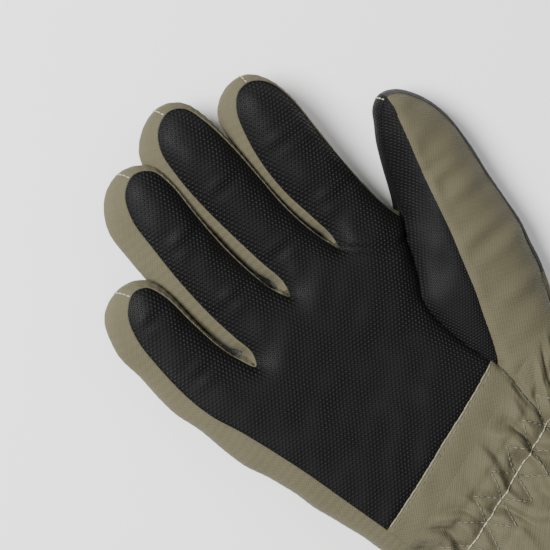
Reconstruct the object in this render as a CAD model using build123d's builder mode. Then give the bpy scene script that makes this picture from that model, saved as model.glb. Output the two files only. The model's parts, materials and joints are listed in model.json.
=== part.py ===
"""Right-hand ski glove with five fingers and a gauntlet cuff, lying on its back with the palm up.

Frame, in millimetres: the floor is z = 0, the palm faces +Z, the fingers point along +Y and the thumb is on the +X
side. The origin is on the flat rest face of the back of the hand. Every digit has two folds and the wrist has one.
The layers of the wall run from the sewn shell, through the quilted liner, to the open space for the hand.
"""

import os
from collections import namedtuple
from math import cos, radians, sin, tan

from build123d import *

# Layers of the wall, from the outside in
shell_thickness = 1.5
liner_thickness = 4.0
lining_thickness = 1.2
layer_gap = 0.3

# Hand between the finger crotches and the wrist fold
palm_depth = 29.0
hand_edge_round = 9.0
hand_corner_round = 5.0
hand_width_at_crotches = 117.0
hand_width_at_wrist = 112.0
front_seam_height = 19.5
back_seam_height = 7.5
heel_bulge = 3.0
heel_above_wrist = 24.0
fork_slope = 3.0
little_side_point = (-0.5, 16.0)
thumb_side_points = [(80.0, -28.0), (86.0, -14.0), (76.0, 12.0)]
index_side_start = 24.0

# Digits
crotch_line = 46.0
little_crotch_line = 36.0
digit_corner_round = 11.0
digit_edge_round = 8.0
finger_depth = 24.0
finger_height = 13.5
finger_tail = 24.0
thumb_depth = 29.0
thumb_height = 18.5
thumb_tail = 46.0
thumb_seam_offset = 6.0
finger_fold = 65.0
thumb_fold = 30.0
fold_gap = 0.6
fold_overrun = 3.0

# Wrist and cuff
cuff_heading = 12.0
wrist_fold_palmward = 40.0
wrist_fold_backward = 30.0
palm_seam_to_fold = 18.0
cuff_length = 93.0
hem_width = 124.0
hem_depth = 46.0
hem_corner_round = 16.0
elastic_width = 21.0
elastic_thickness = 1.2
elastic_from_fold = 4.0
binding_width = 12.0
binding_thickness = 1.2
loop_webbing_width = 10.0
loop_webbing_thickness = 1.6
loop_length = 42.0
loop_height = 12.0

# Point where the wrist fold crosses the middle of the hand
wrist_x = 15.0
wrist_y = -55.0

# A digit's plan point lies on its crotch line. Heading turns it towards +X, section_roll turns its panels and
# fold_roll its folds about its own length, and first and second are the distances from the plan point to the folds.
Digit = namedtuple(
    "Digit", "name x y z heading section_roll fold_roll width depth reach tail first second fold seam"
)
finger_seam = finger_depth / 2 - (finger_height + finger_depth / 2 - front_seam_height)
index = Digit(
    "index", 39.8, crotch_line, finger_height, 5.0, 0, 0, 27.2, finger_depth, 78.5, finger_tail, 18, 50,
    finger_fold, finger_seam,
)
middle = Digit(
    "middle", 11.9, crotch_line, finger_height, 1.5, 0, 0, 27.0, finger_depth, 91.5, finger_tail, 18, 55,
    finger_fold, finger_seam,
)
ring = Digit(
    "ring", -15.9, crotch_line, finger_height, 0, 0, 0, 26.0, finger_depth, 81.0, finger_tail, 18, 50,
    finger_fold, finger_seam,
)
little = Digit(
    "little", -47.8, little_crotch_line, finger_height, 0, 0, 0, 26.5, finger_depth, 63.5, finger_tail, 16.5, 43.5,
    finger_fold, finger_seam,
)
thumb = Digit(
    "thumb", 75.0, 24.0, thumb_height, 11.0, 60, 15, 31.0, thumb_depth, 54.0, thumb_tail, 20.5, 39,
    thumb_fold, thumb_seam_offset,
)
fingers = [index, middle, ring, little]
digits = fingers + [thumb]

far = 400.0
cavity_inset = shell_thickness + layer_gap + liner_thickness
liner_inset = shell_thickness + layer_gap


def digit_axes(digit, roll):
    """The digit's direction, and the direction across it, turned by roll about its length."""
    turn = radians(digit.heading)
    forward = Vector(sin(turn), cos(turn), 0)
    across = Vector(cos(turn), -sin(turn), 0)
    side = across * cos(radians(roll)) + Vector(0, 0, 1) * sin(radians(roll))
    return forward, side


def section_plane(digit):
    """Plane through the digit's middle: local x across it, local y along it, local z out of its palm side."""
    forward, side = digit_axes(digit, digit.section_roll)
    return Plane(origin=(digit.x, digit.y, digit.z), x_dir=side, z_dir=side.cross(forward))


def fold_plane(digit):
    """Plane for fold profiles: local x along the digit, local y out of the side it folds to."""
    forward, side = digit_axes(digit, digit.fold_roll)
    return Plane(origin=(digit.x, digit.y, digit.z), x_dir=forward, z_dir=side)


def wrist_plane():
    """Plane for the wrist's fold profile: local x from the hand to the cuff, local y towards the palm side."""
    turn = radians(cuff_heading)
    towards_cuff = Vector(sin(turn), -cos(turn), 0)
    return Plane(
        origin=(wrist_x, wrist_y, palm_depth / 2), x_dir=towards_cuff, z_dir=towards_cuff.cross(Vector(0, 0, 1))
    )


def digit_form(digit, inset):
    """The whole digit as one closed rounded form, made smaller all round by inset."""
    length = digit.tail + digit.reach
    half = digit.depth / 2 - inset
    plane = section_plane(digit)
    with BuildPart() as form:
        with BuildSketch(plane.offset(-half)):
            with Locations((0, (digit.reach - digit.tail) / 2)):
                RectangleRounded(digit.width - 2 * inset, length - 2 * inset, digit_corner_round - inset)
        extrude(amount=2 * half)
        rims = form.faces().filter_by(lambda face: abs(face.normal_at().dot(plane.z_dir)) > 0.99)
        fillet(rims.edges(), digit_edge_round - inset)
    return form.part


def hand_outline():
    """Corners of the hand seen from above, from the little finger's crotch round the wrist to the index finger."""
    right = wrist_plane().z_dir
    right = right if right.X > 0 else right * -1
    down = wrist_plane().x_dir
    fold = Vector(wrist_x, wrist_y, 0)
    wrist_left = fold - right * (hand_width_at_wrist / 2)
    wrist_right = fold + right * (hand_width_at_wrist / 2)
    overrun = down * (hand_corner_round + cavity_inset + hand_edge_round)
    heel = wrist_left + (wrist_left - wrist_right).normalized() * heel_bulge - down * heel_above_wrist
    left = index.x + index.width / 2 - hand_width_at_crotches
    return [
        Vector(left, little_crotch_line, 0),
        Vector(left + little_side_point[0], little_side_point[1], 0),
        heel,
        wrist_left,
        wrist_left + overrun,
        wrist_right + overrun,
        wrist_right,
        *[Vector(x, y, 0) for x, y in thumb_side_points],
        Vector(index.x + index.width / 2, index_side_start, 0),
        Vector(index.x + index.width / 2, crotch_line, 0),
        Vector(ring.x - ring.width / 2, crotch_line, 0),
        Vector(ring.x - ring.width / 2 - fork_slope, little_crotch_line, 0),
    ]


def hand_form(inset):
    """The hand without its digits as one closed rounded form, made smaller all round by inset."""
    corners = [(corner.X, corner.Y) for corner in hand_outline()]
    with BuildPart() as form:
        with BuildSketch(Plane.XY.offset(inset)) as outline:
            with BuildLine():
                Polyline(*corners, close=True)
            make_face()
            fillet(outline.vertices(), hand_corner_round)
            if inset > 0:
                offset(amount=-inset, kind=Kind.INTERSECTION)
        extrude(amount=palm_depth - 2 * inset)
        rims = form.faces().filter_by(Axis.Z)
        fillet(rims.edges(), hand_edge_round - inset)
    return form.part


def fold_space(plane, start, end, thickness):
    """The space between two folds. Each fold is (distance, half angle up, half angle down), or None for no fold."""
    height = thickness / 2 + fold_overrun
    if start is None:
        near_side = [(-far, -height), (-far, height)]
    else:
        at, up, down = start
        at = at + fold_gap / 2
        near_side = [
            (at + height * tan(radians(down)), -height),
            (at, 0),
            (at + height * tan(radians(up)), height),
        ]
    if end is None:
        far_side = [(far, height), (far, -height)]
    else:
        at, up, down = end
        at = at - fold_gap / 2
        far_side = [
            (at - height * tan(radians(up)), height),
            (at, 0),
            (at - height * tan(radians(down)), -height),
        ]
    with BuildPart() as space:
        with BuildSketch(plane):
            with BuildLine():
                Polyline(*near_side, *far_side, close=True)
            make_face()
        extrude(amount=far / 2, both=True)
    return space.part


def digit_space(digit, segment):
    """The space of a digit's root, base or tip segment."""
    first = (digit.first, digit.fold / 2, 0)
    second = (digit.second, digit.fold / 2, 0)
    limits = {"root": (None, first), "base": (first, second), "tip": (second, None)}
    start, end = limits[segment]
    return fold_space(fold_plane(digit), start, end, max(digit.depth, digit.width))


def slab(plane, low, high):
    """The space between two heights above a plane."""
    with BuildPart() as space:
        with BuildSketch(plane.offset(low)):
            Rectangle(2 * far, 2 * far)
        extrude(amount=high - low)
    return space.part


def common(*parts):
    """What all the given solids share."""
    with BuildPart() as shared:
        add(parts[0])
        for part in parts[1:]:
            add(part, mode=Mode.INTERSECT)
    return shared.part


def cut(part, *tools):
    """A solid less the given tools."""
    with BuildPart() as rest:
        add(part)
        for tool in tools:
            add(tool, mode=Mode.SUBTRACT)
    return rest.part


def joined(*parts):
    """The given solids as one."""
    with BuildPart() as whole:
        for part in parts:
            add(part)
    return whole.part


def write(name, part):
    """Labels a finished piece and writes it as one STEP file."""
    part.label = name
    export_step(part, f"parts/{name}.step")


def make_digit_segment(digit, segment, forms):
    """Front panel, back panel, side walls and quilted liner of one digit segment."""
    space = digit_space(digit, segment)
    plane = section_plane(digit)
    skin = common(cut(forms["outer"], forms["shell_inside"]), space)
    name = f"{digit.name}_{segment}"
    with BuildPart() as front_panel:
        add(skin)
        add(slab(plane, digit.seam, far), mode=Mode.INTERSECT)
    write(f"{name}_front_panel", front_panel.part)
    with BuildPart() as back_panel:
        add(skin)
        add(slab(plane, -far, -digit.seam), mode=Mode.INTERSECT)
    write(f"{name}_back_panel", back_panel.part)
    with BuildPart() as side_walls:
        add(skin)
        add(slab(plane, -digit.seam, digit.seam), mode=Mode.INTERSECT)
    write(f"{name}_side_walls", side_walls.part)
    with BuildPart() as liner:
        add(forms["liner_outside"])
        add(forms["cavity"], mode=Mode.SUBTRACT)
        add(space, mode=Mode.INTERSECT)
    write(f"{name}_liner", liner.part)


def digit_forms(digit):
    """The nested closed forms of one digit, from the shell's outside to the space for the finger."""
    return {
        "outer": digit_form(digit, 0),
        "shell_inside": digit_form(digit, shell_thickness),
        "liner_outside": digit_form(digit, liner_inset),
        "cavity": digit_form(digit, cavity_inset),
    }


def make_digits(forms):
    """Base and tip segments of every digit."""
    for digit in digits:
        for segment in ("base", "tip"):
            make_digit_segment(digit, segment, forms[digit.name])


def hand_layer(inset, layer, forms):
    """The hand and the roots of its four fingers as one form at the given layer."""
    roots = [common(forms[finger.name][layer], digit_space(finger, "root")) for finger in fingers]
    return joined(hand_form(inset), *roots)


def hand_space():
    """The space on the hand's side of the wrist fold."""
    fold = (0, wrist_fold_palmward / 2, wrist_fold_backward / 2)
    return fold_space(wrist_plane(), None, fold, palm_depth)


def beyond_palm_seam():
    """The space on the cuff's side of the seam between the palm panel and the wrist panel."""
    plane = wrist_plane()
    with BuildPart() as space:
        with BuildSketch(Plane(origin=plane.origin - plane.x_dir * palm_seam_to_fold, z_dir=plane.x_dir)):
            Rectangle(2 * far, 2 * far)
        extrude(amount=far)
    return space.part


def make_hand(forms):
    """Sewn shell of the hand with the roots of the four fingers, and its insulation and lining."""
    thumb_way = common(forms["thumb"]["cavity"], digit_space(thumb, "root"))
    outer = common(hand_layer(0, "outer", forms), hand_space())
    skin = cut(outer, hand_layer(shell_thickness, "shell_inside", forms), thumb_way)
    front = common(skin, slab(Plane.XY, front_seam_height, far))
    wall = common(skin, slab(Plane.XY, back_seam_height, front_seam_height))
    past_seam = beyond_palm_seam()

    with BuildPart() as palm_panel:
        add(front)
        add(past_seam, mode=Mode.SUBTRACT)
    write("palm_panel", palm_panel.part)

    with BuildPart() as wrist_panel:
        add(front)
        add(past_seam, mode=Mode.INTERSECT)
    write("wrist_panel", wrist_panel.part)

    with BuildPart() as back_of_hand_panel:
        add(skin)
        add(slab(Plane.XY, -far, back_seam_height), mode=Mode.INTERSECT)
    write("back_of_hand_panel", back_of_hand_panel.part)

    side_split = index.x
    radial_side = Plane(origin=(side_split, 0, 0), z_dir=(1, 0, 0))
    ulnar_side = Plane(origin=(little.x, 0, 0), z_dir=(-1, 0, 0))
    below_crotches = little_crotch_line - finger_tail
    with BuildPart() as index_side_wall:
        add(wall)
        add(slab(radial_side, 0, far), mode=Mode.INTERSECT)
    write("index_side_wall", index_side_wall.part)

    with BuildPart() as little_side_wall:
        add(wall)
        add(slab(ulnar_side, 0, far), mode=Mode.INTERSECT)
    write("little_side_wall", little_side_wall.part)

    with BuildPart() as finger_fork_roots:
        add(wall)
        add(slab(radial_side, -(side_split - little.x), 0), mode=Mode.INTERSECT)
        add(slab(Plane.XZ.offset(-below_crotches), -far, 0), mode=Mode.INTERSECT)
    write("finger_fork_roots", finger_fork_roots.part)

    padding_inset = cavity_inset - lining_thickness
    with BuildPart() as hand_insulation:
        add(hand_layer(liner_inset, "liner_outside", forms))
        add(hand_form(padding_inset), mode=Mode.SUBTRACT)
        for finger in fingers:
            add(common(forms[finger.name]["cavity"], digit_space(finger, "root")), mode=Mode.SUBTRACT)
        add(thumb_way, mode=Mode.SUBTRACT)
        add(hand_space(), mode=Mode.INTERSECT)
    write("hand_insulation", hand_insulation.part)

    with BuildPart() as hand_lining:
        add(hand_form(padding_inset + layer_gap))
        add(hand_form(cavity_inset + layer_gap), mode=Mode.SUBTRACT)
        for finger in fingers:
            add(common(forms[finger.name]["cavity"], digit_space(finger, "root")), mode=Mode.SUBTRACT)
        add(thumb_way, mode=Mode.SUBTRACT)
        add(hand_space(), mode=Mode.INTERSECT)
    write("hand_lining", hand_lining.part)


def make_thumb_root(forms):
    """The thumb's sewn and lined tube from the hand's side to its first fold."""
    plane = section_plane(thumb)
    space = cut(digit_space(thumb, "root"), hand_form(0))
    skin = common(cut(forms["thumb"]["outer"], forms["thumb"]["shell_inside"]), space)
    with BuildPart() as thumb_root_front_panel:
        add(skin)
        add(slab(plane, thumb.seam, far), mode=Mode.INTERSECT)
    write("thumb_root_front_panel", thumb_root_front_panel.part)
    with BuildPart() as thumb_root_back_panel:
        add(skin)
        add(slab(plane, -far, -thumb.seam), mode=Mode.INTERSECT)
    write("thumb_root_back_panel", thumb_root_back_panel.part)
    with BuildPart() as thumb_root_side_walls:
        add(skin)
        add(slab(plane, -thumb.seam, thumb.seam), mode=Mode.INTERSECT)
    write("thumb_root_side_walls", thumb_root_side_walls.part)
    with BuildPart() as thumb_root_liner:
        add(forms["thumb"]["liner_outside"])
        add(forms["thumb"]["cavity"], mode=Mode.SUBTRACT)
        add(space, mode=Mode.INTERSECT)
    write("thumb_root_liner", thumb_root_liner.part)


def cuff_form(inset):
    """The cuff as one closed flared form from the wrist fold to past its hem, made smaller all round by inset."""
    near = wrist_plane()
    across = near.z_dir
    with BuildPart() as form:
        with BuildSketch(Plane(origin=near.origin, x_dir=across, z_dir=near.x_dir)):
            RectangleRounded(
                hand_width_at_wrist - 2 * inset, palm_depth - 2 * inset, hand_edge_round - inset
            )
        hem_middle = near.origin + near.x_dir * cuff_length + Vector(0, 0, (hem_depth - palm_depth) / 2)
        with BuildSketch(Plane(origin=hem_middle, x_dir=across, z_dir=near.x_dir)):
            RectangleRounded(hem_width - 2 * inset, hem_depth - 2 * inset, hem_corner_round - inset)
        loft()
    return form.part


def cuff_stretch(start, end):
    """The space between two distances along the cuff from the wrist fold."""
    plane = wrist_plane()
    with BuildPart() as space:
        with BuildSketch(Plane(origin=plane.origin + plane.x_dir * start, z_dir=plane.x_dir)):
            Rectangle(2 * far, 2 * far)
        extrude(amount=end - start)
    return space.part


def make_cuff():
    """Flared cuff with its shell panels, wrist elastic, insulation, lining, hem binding and hang loop."""
    fold = (0, wrist_fold_palmward / 2, wrist_fold_backward / 2)
    space = fold_space(wrist_plane(), fold, None, palm_depth + hem_depth)
    outer = common(cuff_form(0), space)
    binding_start = cuff_length - binding_width
    panel_stretch = cuff_stretch(-cuff_length, binding_start)
    skin = common(cut(outer, cuff_form(shell_thickness)), panel_stretch)
    axis = wrist_plane()
    rise = (hem_depth - palm_depth) / 2
    centre_line = axis.x_dir * cuff_length + Vector(0, 0, rise)
    middle_height = Plane(origin=axis.origin, x_dir=axis.z_dir, z_dir=centre_line.cross(axis.z_dir))
    if middle_height.z_dir.Z < 0:
        middle_height = Plane(origin=axis.origin, x_dir=axis.z_dir, z_dir=middle_height.z_dir * -1)

    with BuildPart() as cuff_front_panel:
        add(skin)
        add(slab(middle_height, 0, far), mode=Mode.INTERSECT)
    write("cuff_front_panel", cuff_front_panel.part)

    with BuildPart() as cuff_back_panel:
        add(skin)
        add(slab(middle_height, -far, 0), mode=Mode.INTERSECT)
    write("cuff_back_panel", cuff_back_panel.part)

    elastic_inset = liner_inset
    elastic_space = cuff_stretch(elastic_from_fold, elastic_from_fold + elastic_width)
    with BuildPart() as wrist_elastic:
        add(cuff_form(elastic_inset))
        add(cuff_form(elastic_inset + elastic_thickness), mode=Mode.SUBTRACT)
        add(elastic_space, mode=Mode.INTERSECT)
        add(space, mode=Mode.INTERSECT)
    write("wrist_elastic", wrist_elastic.part)

    padding_outside = elastic_inset + elastic_thickness + layer_gap
    padding_inside = cavity_inset - lining_thickness
    with BuildPart() as cuff_insulation:
        add(cuff_form(padding_outside))
        add(cuff_form(padding_inside), mode=Mode.SUBTRACT)
        add(space, mode=Mode.INTERSECT)
        add(panel_stretch, mode=Mode.INTERSECT)
    write("cuff_insulation", cuff_insulation.part)

    with BuildPart() as cuff_lining:
        add(cuff_form(padding_inside + layer_gap))
        add(cuff_form(cavity_inset + layer_gap), mode=Mode.SUBTRACT)
        add(space, mode=Mode.INTERSECT)
        add(panel_stretch, mode=Mode.INTERSECT)
    write("cuff_lining", cuff_lining.part)

    binding_inside = shell_thickness + binding_thickness
    with BuildPart() as hem_binding:
        add(cuff_form(0))
        add(cuff_form(binding_inside), mode=Mode.SUBTRACT)
        add(cuff_stretch(binding_start, 2 * cuff_length), mode=Mode.INTERSECT)
    write("hem_binding", hem_binding.part)


def make_hang_loop():
    """Webbing loop sewn to the palm side of the hem, standing up past it."""
    plane = wrist_plane()
    hem_top = plane.origin + plane.x_dir * (cuff_length - binding_width) + Vector(0, 0, hem_depth - palm_depth / 2)
    slope = (hem_depth - palm_depth) / cuff_length
    run = (plane.x_dir - Vector(0, 0, -slope)).normalized()
    loop_plane = Plane(origin=hem_top, x_dir=run, z_dir=plane.z_dir)
    with BuildPart() as hang_loop:
        with BuildSketch(loop_plane):
            with Locations((0, loop_height / 2)):
                SlotOverall(loop_length, loop_height)
                SlotOverall(
                    loop_length - 2 * loop_webbing_thickness,
                    loop_height - 2 * loop_webbing_thickness,
                    mode=Mode.SUBTRACT,
                )
        extrude(amount=loop_webbing_width / 2, both=True)
    write("hang_loop", hang_loop.part)


os.makedirs("parts", exist_ok=True)
digit_layers = {digit.name: digit_forms(digit) for digit in digits}
make_digits(digit_layers)
make_hand(digit_layers)
make_thumb_root(digit_layers)
make_cuff()
make_hang_loop()
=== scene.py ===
"""Ski glove: sewn shell, stitching, binding, elastic and lining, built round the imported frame.

Lengths are worked in millimetres, in the frame's own axes, and turned into metres when a mesh is made. The shell is
one sheet for the palm side and one for the back, with a side wall between them that follows the outline of the
hand, and a tube from the wrist to the hem. Panels are cut from these along their seams.
"""

import json
import math

import bpy
import numpy as np
from mathutils import Matrix, Vector
from mathutils.bvhtree import BVHTree
from mathutils.geometry import delaunay_2d_cdt


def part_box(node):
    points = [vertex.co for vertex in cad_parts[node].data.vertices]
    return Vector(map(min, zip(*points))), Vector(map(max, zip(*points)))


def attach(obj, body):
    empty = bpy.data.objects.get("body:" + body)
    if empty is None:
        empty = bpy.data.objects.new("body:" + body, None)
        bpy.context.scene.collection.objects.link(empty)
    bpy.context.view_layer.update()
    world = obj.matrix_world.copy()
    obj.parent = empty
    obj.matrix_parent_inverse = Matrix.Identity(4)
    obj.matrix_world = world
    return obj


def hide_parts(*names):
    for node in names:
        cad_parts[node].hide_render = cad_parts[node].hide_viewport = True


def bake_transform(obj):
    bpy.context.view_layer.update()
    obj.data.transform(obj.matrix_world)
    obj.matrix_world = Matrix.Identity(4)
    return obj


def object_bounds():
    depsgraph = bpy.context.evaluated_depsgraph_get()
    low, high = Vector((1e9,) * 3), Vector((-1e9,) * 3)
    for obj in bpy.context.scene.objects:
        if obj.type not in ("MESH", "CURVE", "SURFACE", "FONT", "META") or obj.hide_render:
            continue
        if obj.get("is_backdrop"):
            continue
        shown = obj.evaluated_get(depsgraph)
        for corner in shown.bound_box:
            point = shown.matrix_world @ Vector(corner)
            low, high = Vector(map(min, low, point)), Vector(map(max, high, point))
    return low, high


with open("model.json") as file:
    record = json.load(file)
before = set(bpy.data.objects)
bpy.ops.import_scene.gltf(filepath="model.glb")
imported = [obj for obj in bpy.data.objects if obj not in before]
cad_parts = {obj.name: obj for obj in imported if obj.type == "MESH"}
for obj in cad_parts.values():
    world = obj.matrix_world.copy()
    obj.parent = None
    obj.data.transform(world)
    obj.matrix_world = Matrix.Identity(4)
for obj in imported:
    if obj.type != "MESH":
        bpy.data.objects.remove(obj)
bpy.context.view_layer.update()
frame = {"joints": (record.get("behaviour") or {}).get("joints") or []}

MM = 0.001
FAR = 1e9                # stands for no distance yet
TINY = 1e-9

# ---- joints of the frame
JOINT = {j["name"]: j for j in frame["joints"]}


def joint_at(name):
    """Where a joint's axis passes, in millimetres."""
    return np.array(JOINT[name]["pos_m"], float) / MM


def digit_axis(name):
    """A digit's direction in plan, from its base fold to its tip fold."""
    along = joint_at(f"{name}_tip_fold") - joint_at(f"{name}_base_fold")
    return along / np.linalg.norm(along)


WRIST = joint_at("wrist_fold")
ACROSS = np.array(JOINT["wrist_fold"]["axis"], float)[:2]
ALONG = np.array([ACROSS[1], -ACROSS[0]])          # in plan, from the hand to the cuff

# ---- outline of the front panels, (x, y, bulge, seam z)
# bulge is how far the side wall stands out past the seam; the outline runs from the little finger's side of the
# wrist round every fingertip to the thumb's side of the wrist
ULNAR_SIDE = [
    (-36.6, -58.6, 6.5, 23.5), (-38.3, -48, 7, 24), (-41.8, -27.6, 8, 24), (-45.7, -5.2, 9, 24),
    (-51.8, 21.8, 9.5, 23), (-55.9, 36, 7, 21.5),
]
LITTLE = [
    (-57.3, 48, 6.5, 20), (-57.1, 64, 6.3, 19.5), (-55.3, 80, 7, 19.5), (-51, 89, 7.4, 19), (-44, 93.2, 4.5, 18.5),
    (-38.6, 91, 3.5, 18.5), (-35.8, 83, 3, 19), (-35.2, 68, 2.2, 19.5), (-34.3, 54, 1.6, 20),
    (-32.4, 45, 1.2, 20.5),
]
RING = [
    (-26.4, 42, 2.0, 20.5), (-27, 51, 3.4, 20), (-27.6, 64, 4, 19.5), (-27.2, 82, 6.5, 19.5), (-25.6, 100, 7.4, 19.5),
    (-23.6, 114, 7.8, 19), (-18.5, 123, 6, 18.5), (-11, 126, 3.5, 18.5), (-4.6, 121.8, 3, 18.5),
    (-2.9, 113, 2.5, 19), (-4.2, 96, 2, 19.5), (-4.9, 80, 1.8, 19.5), (-4.2, 64, 1.4, 20), (-2.4, 53, 1, 20.5),
]
MIDDLE = [
    (2.6, 53, 2.2, 20.5), (1.8, 65, 3.0, 20), (1, 82, 3.4, 19.5), (0.6, 98, 4.2, 19.5), (1.3, 113, 5.2, 19.5),
    (3.6, 125, 6.8, 19), (9, 131.8, 5, 18.5), (16.5, 133.8, 3.5, 18.5), (22, 130.3, 3, 18.5), (24.6, 121, 2.5, 19),
    (25.5, 106, 2, 19.5), (25, 90, 1.6, 19.5), (24.3, 75, 1.5, 19.5), (25, 62, 1.2, 20), (26.7, 52, 1, 20.5),
]
INDEX = [
    (29.9, 52, 1.6, 20.5), (29.6, 62, 2.6, 20), (28.6, 78, 2.9, 19.5), (29.6, 92, 3.2, 19.5), (32.2, 104, 4.6, 19.5),
    (36.6, 114.8, 6.2, 19), (42.5, 119.8, 4.2, 18.5), (49, 119.3, 3, 18.5), (54.3, 113.5, 1.6, 19),
    (56.3, 103, 1.2, 19.5), (55.4, 86, 1.0, 19.5), (54.4, 70, 1.0, 19.5), (54, 56, 1.0, 19.5), (54.6, 45, 0.9, 19),
]
THUMB = [
    (60.2, 40.5, 1.0, 16.5), (63.8, 47, 1.2, 16), (68, 55.4, 1.3, 16), (73, 64, 1.3, 16), (77, 69.4, 1.3, 16.3),
    (81, 73.4, 2.2, 17), (85.4, 75.6, 2, 18), (90.5, 73.2, 2, 17.5), (95.2, 66, 2, 17), (98, 57.5, 2, 17),
    (98.8, 48, 2, 17), (97.8, 38.5, 2, 17), (94.8, 23, 2, 17),
]
RADIAL_SIDE = [
    (93.2, 11.5, 2, 17), (90.6, -1.2, 2.2, 17), (87.4, -10, 2.5, 17), (83.9, -20.5, 3, 17),
    (76, -35.6, 3.5, 17),
]
CROTCH_LITTLE = [(-29.3, 37, 7.0, 21)]
CROTCH_RING = [(0.3, 47, 6.0, 21)]
CROTCH_MIDDLE = [(28.3, 46.6, 5.0, 21)]
WEB_PLACE = (57.4, 35.4)
THUMB_TIP_PLACE = (85.4, 75.6)
THUMB_WEB = [(*WEB_PLACE, 2.5, 17)]
OUTLINE = [
    ("ulnar", ULNAR_SIDE), ("little", LITTLE), ("crotch", CROTCH_LITTLE), ("ring", RING), ("crotch", CROTCH_RING),
    ("middle", MIDDLE), ("crotch", CROTCH_MIDDLE), ("index", INDEX), ("crotch", THUMB_WEB), ("thumb", THUMB),
    ("radial", RADIAL_SIDE),
]
DIGITS = ["little", "ring", "middle", "index", "thumb"]
LEAN = {"little": -2.5, "ring": -3.5, "middle": -1.5, "index": 0.0, "thumb": 0.5}

# Seams that cross the front: (x, y, height)
THUMB_PALM_SEAM = [
    (57.4, 35.4, 17), (52.3, 29.5, 18.5), (48.4, 22, 19.5), (43.6, 14, 20.3), (39.2, 8.3, 21.0), (37.3, 1, 21.5),
    (37.4, -9, 22.2), (38.3, -19, 23.2), (40.8, -30.6, 24.8), (42.0, -34.3, 24.6),
]
THUMB_RIDGE_SEAM = [
    (84, 71.4, 23.5), (80.7, 64.8, 26.8), (77.2, 56.4, 28.8), (73, 45.3, 29.6), (70.2, 37.4, 30), (67.4, 29, 30.2),
    (64.3, 19.5, 30.2), (60.7, 10.5, 30), (57.7, 2.1, 29.6), (54.1, -6.9, 28.8), (49.6, -17.5, 27.4),
    (45.5, -27.5, 25.6), (42.0, -34.3, 24.6),
]
INDEX_CROSS_SEAM = [(28.6, 45.8), (33.5, 40.5), (39.9, 34.2), (46.6, 29.8), (52.3, 29.5)]
PALM_CORNER = (40.8, -30.6)
THUMB_CORNER = (42.0, -34.3)

SPACING = 1.5            # edge length of the sheets
LOOP_STEP = 0.8          # edge length along the outline
WALL_ROWS = 10
SHEET_REACH = 11.0       # how far beyond the palm seam the sheets run before the tube starts
PALM_TO_FOLD = 18.0      # from the palm seam to the wrist fold
WAIST = 32.6             # from the palm seam to the middle of the elastic
HEM = PALM_TO_FOLD + 93.0
FLOOR_GAP = 0.3
BINDING_START = HEM - 12.0
ZIGZAG_HALF = 10.5       # half the width of the zigzag stitching
ZIGZAG_PERIOD = 23.6
FINGER_RISE, THUMB_RISE = 5.5, 3.0                 # how far the relaxed tips rise


# ---- curves
def smooth_curve(points, step):
    """Points at even steps on a centripetal Catmull-Rom curve through the given points."""
    pts = np.array(points, float)
    pts = np.vstack([2 * pts[0] - pts[1], pts, 2 * pts[-1] - pts[-2]])
    dense = []
    for i in range(1, len(pts) - 2):
        p0, p1, p2, p3 = pts[i - 1:i + 3]
        t0 = 0.0
        t1 = t0 + np.linalg.norm(p1[:2] - p0[:2]) ** 0.5
        t2 = t1 + np.linalg.norm(p2[:2] - p1[:2]) ** 0.5
        t3 = t2 + np.linalg.norm(p3[:2] - p2[:2]) ** 0.5
        t = np.linspace(t1, t2, 40, endpoint=False)[:, None]
        a1 = (t1 - t) / (t1 - t0) * p0 + (t - t0) / (t1 - t0) * p1
        a2 = (t2 - t) / (t2 - t1) * p1 + (t - t1) / (t2 - t1) * p2
        a3 = (t3 - t) / (t3 - t2) * p2 + (t - t2) / (t3 - t2) * p3
        b1 = (t2 - t) / (t2 - t0) * a1 + (t - t0) / (t2 - t0) * a2
        b2 = (t3 - t) / (t3 - t1) * a2 + (t - t1) / (t3 - t1) * a3
        dense.append((t2 - t) / (t2 - t1) * b1 + (t - t1) / (t2 - t1) * b2)
    dense = np.vstack(dense + [pts[-2:-1]])
    run = np.concatenate([[0], np.cumsum(np.linalg.norm(np.diff(dense[:, :2], axis=0), axis=1))])
    count = max(2, int(round(run[-1] / step)) + 1)
    at = np.linspace(0, run[-1], count)
    return np.column_stack([np.interp(at, run, dense[:, k]) for k in range(dense.shape[1])])


def inside(points, polygon):
    """Which points lie in a closed polygon."""
    x, y = points[:, 0], points[:, 1]
    hit = np.zeros(len(points), bool)
    ends = np.roll(polygon, -1, axis=0)
    for (x0, y0), (x1, y1) in zip(polygon[:, :2], ends[:, :2]):
        if y0 == y1:
            continue
        crosses = (y0 > y) != (y1 > y)
        hit ^= crosses & (x < (x1 - x0) * (y - y0) / (y1 - y0) + x0)
    return hit


def distance_to(points, line):
    """Distance in plan from each point to a polyline."""
    best = np.full(len(points), FAR)
    p = points[:, :2]
    for a, b in zip(line[:-1, :2], line[1:, :2]):
        d = b - a
        t = np.clip(((p - a) @ d) / max(d @ d, 1e-12), 0, 1)
        best = np.minimum(best, np.linalg.norm(p - a - t[:, None] * d, axis=1))
    return best


# ---- outline loop
def palm_line(distance, side):
    """A point beyond the palm seam, at a signed distance across from the wrist's middle."""
    return WRIST[:2] + ALONG * (distance - PALM_TO_FOLD) + ACROSS * side


def beyond(points):
    """How far points lie beyond the palm seam, towards the hem."""
    return (np.atleast_2d(points)[:, :2] - WRIST[:2]) @ ALONG + PALM_TO_FOLD


def across(points):
    """How far points lie across from the wrist's middle, towards the thumb."""
    return (np.atleast_2d(points)[:, :2] - WRIST[:2]) @ ACROSS


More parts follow.
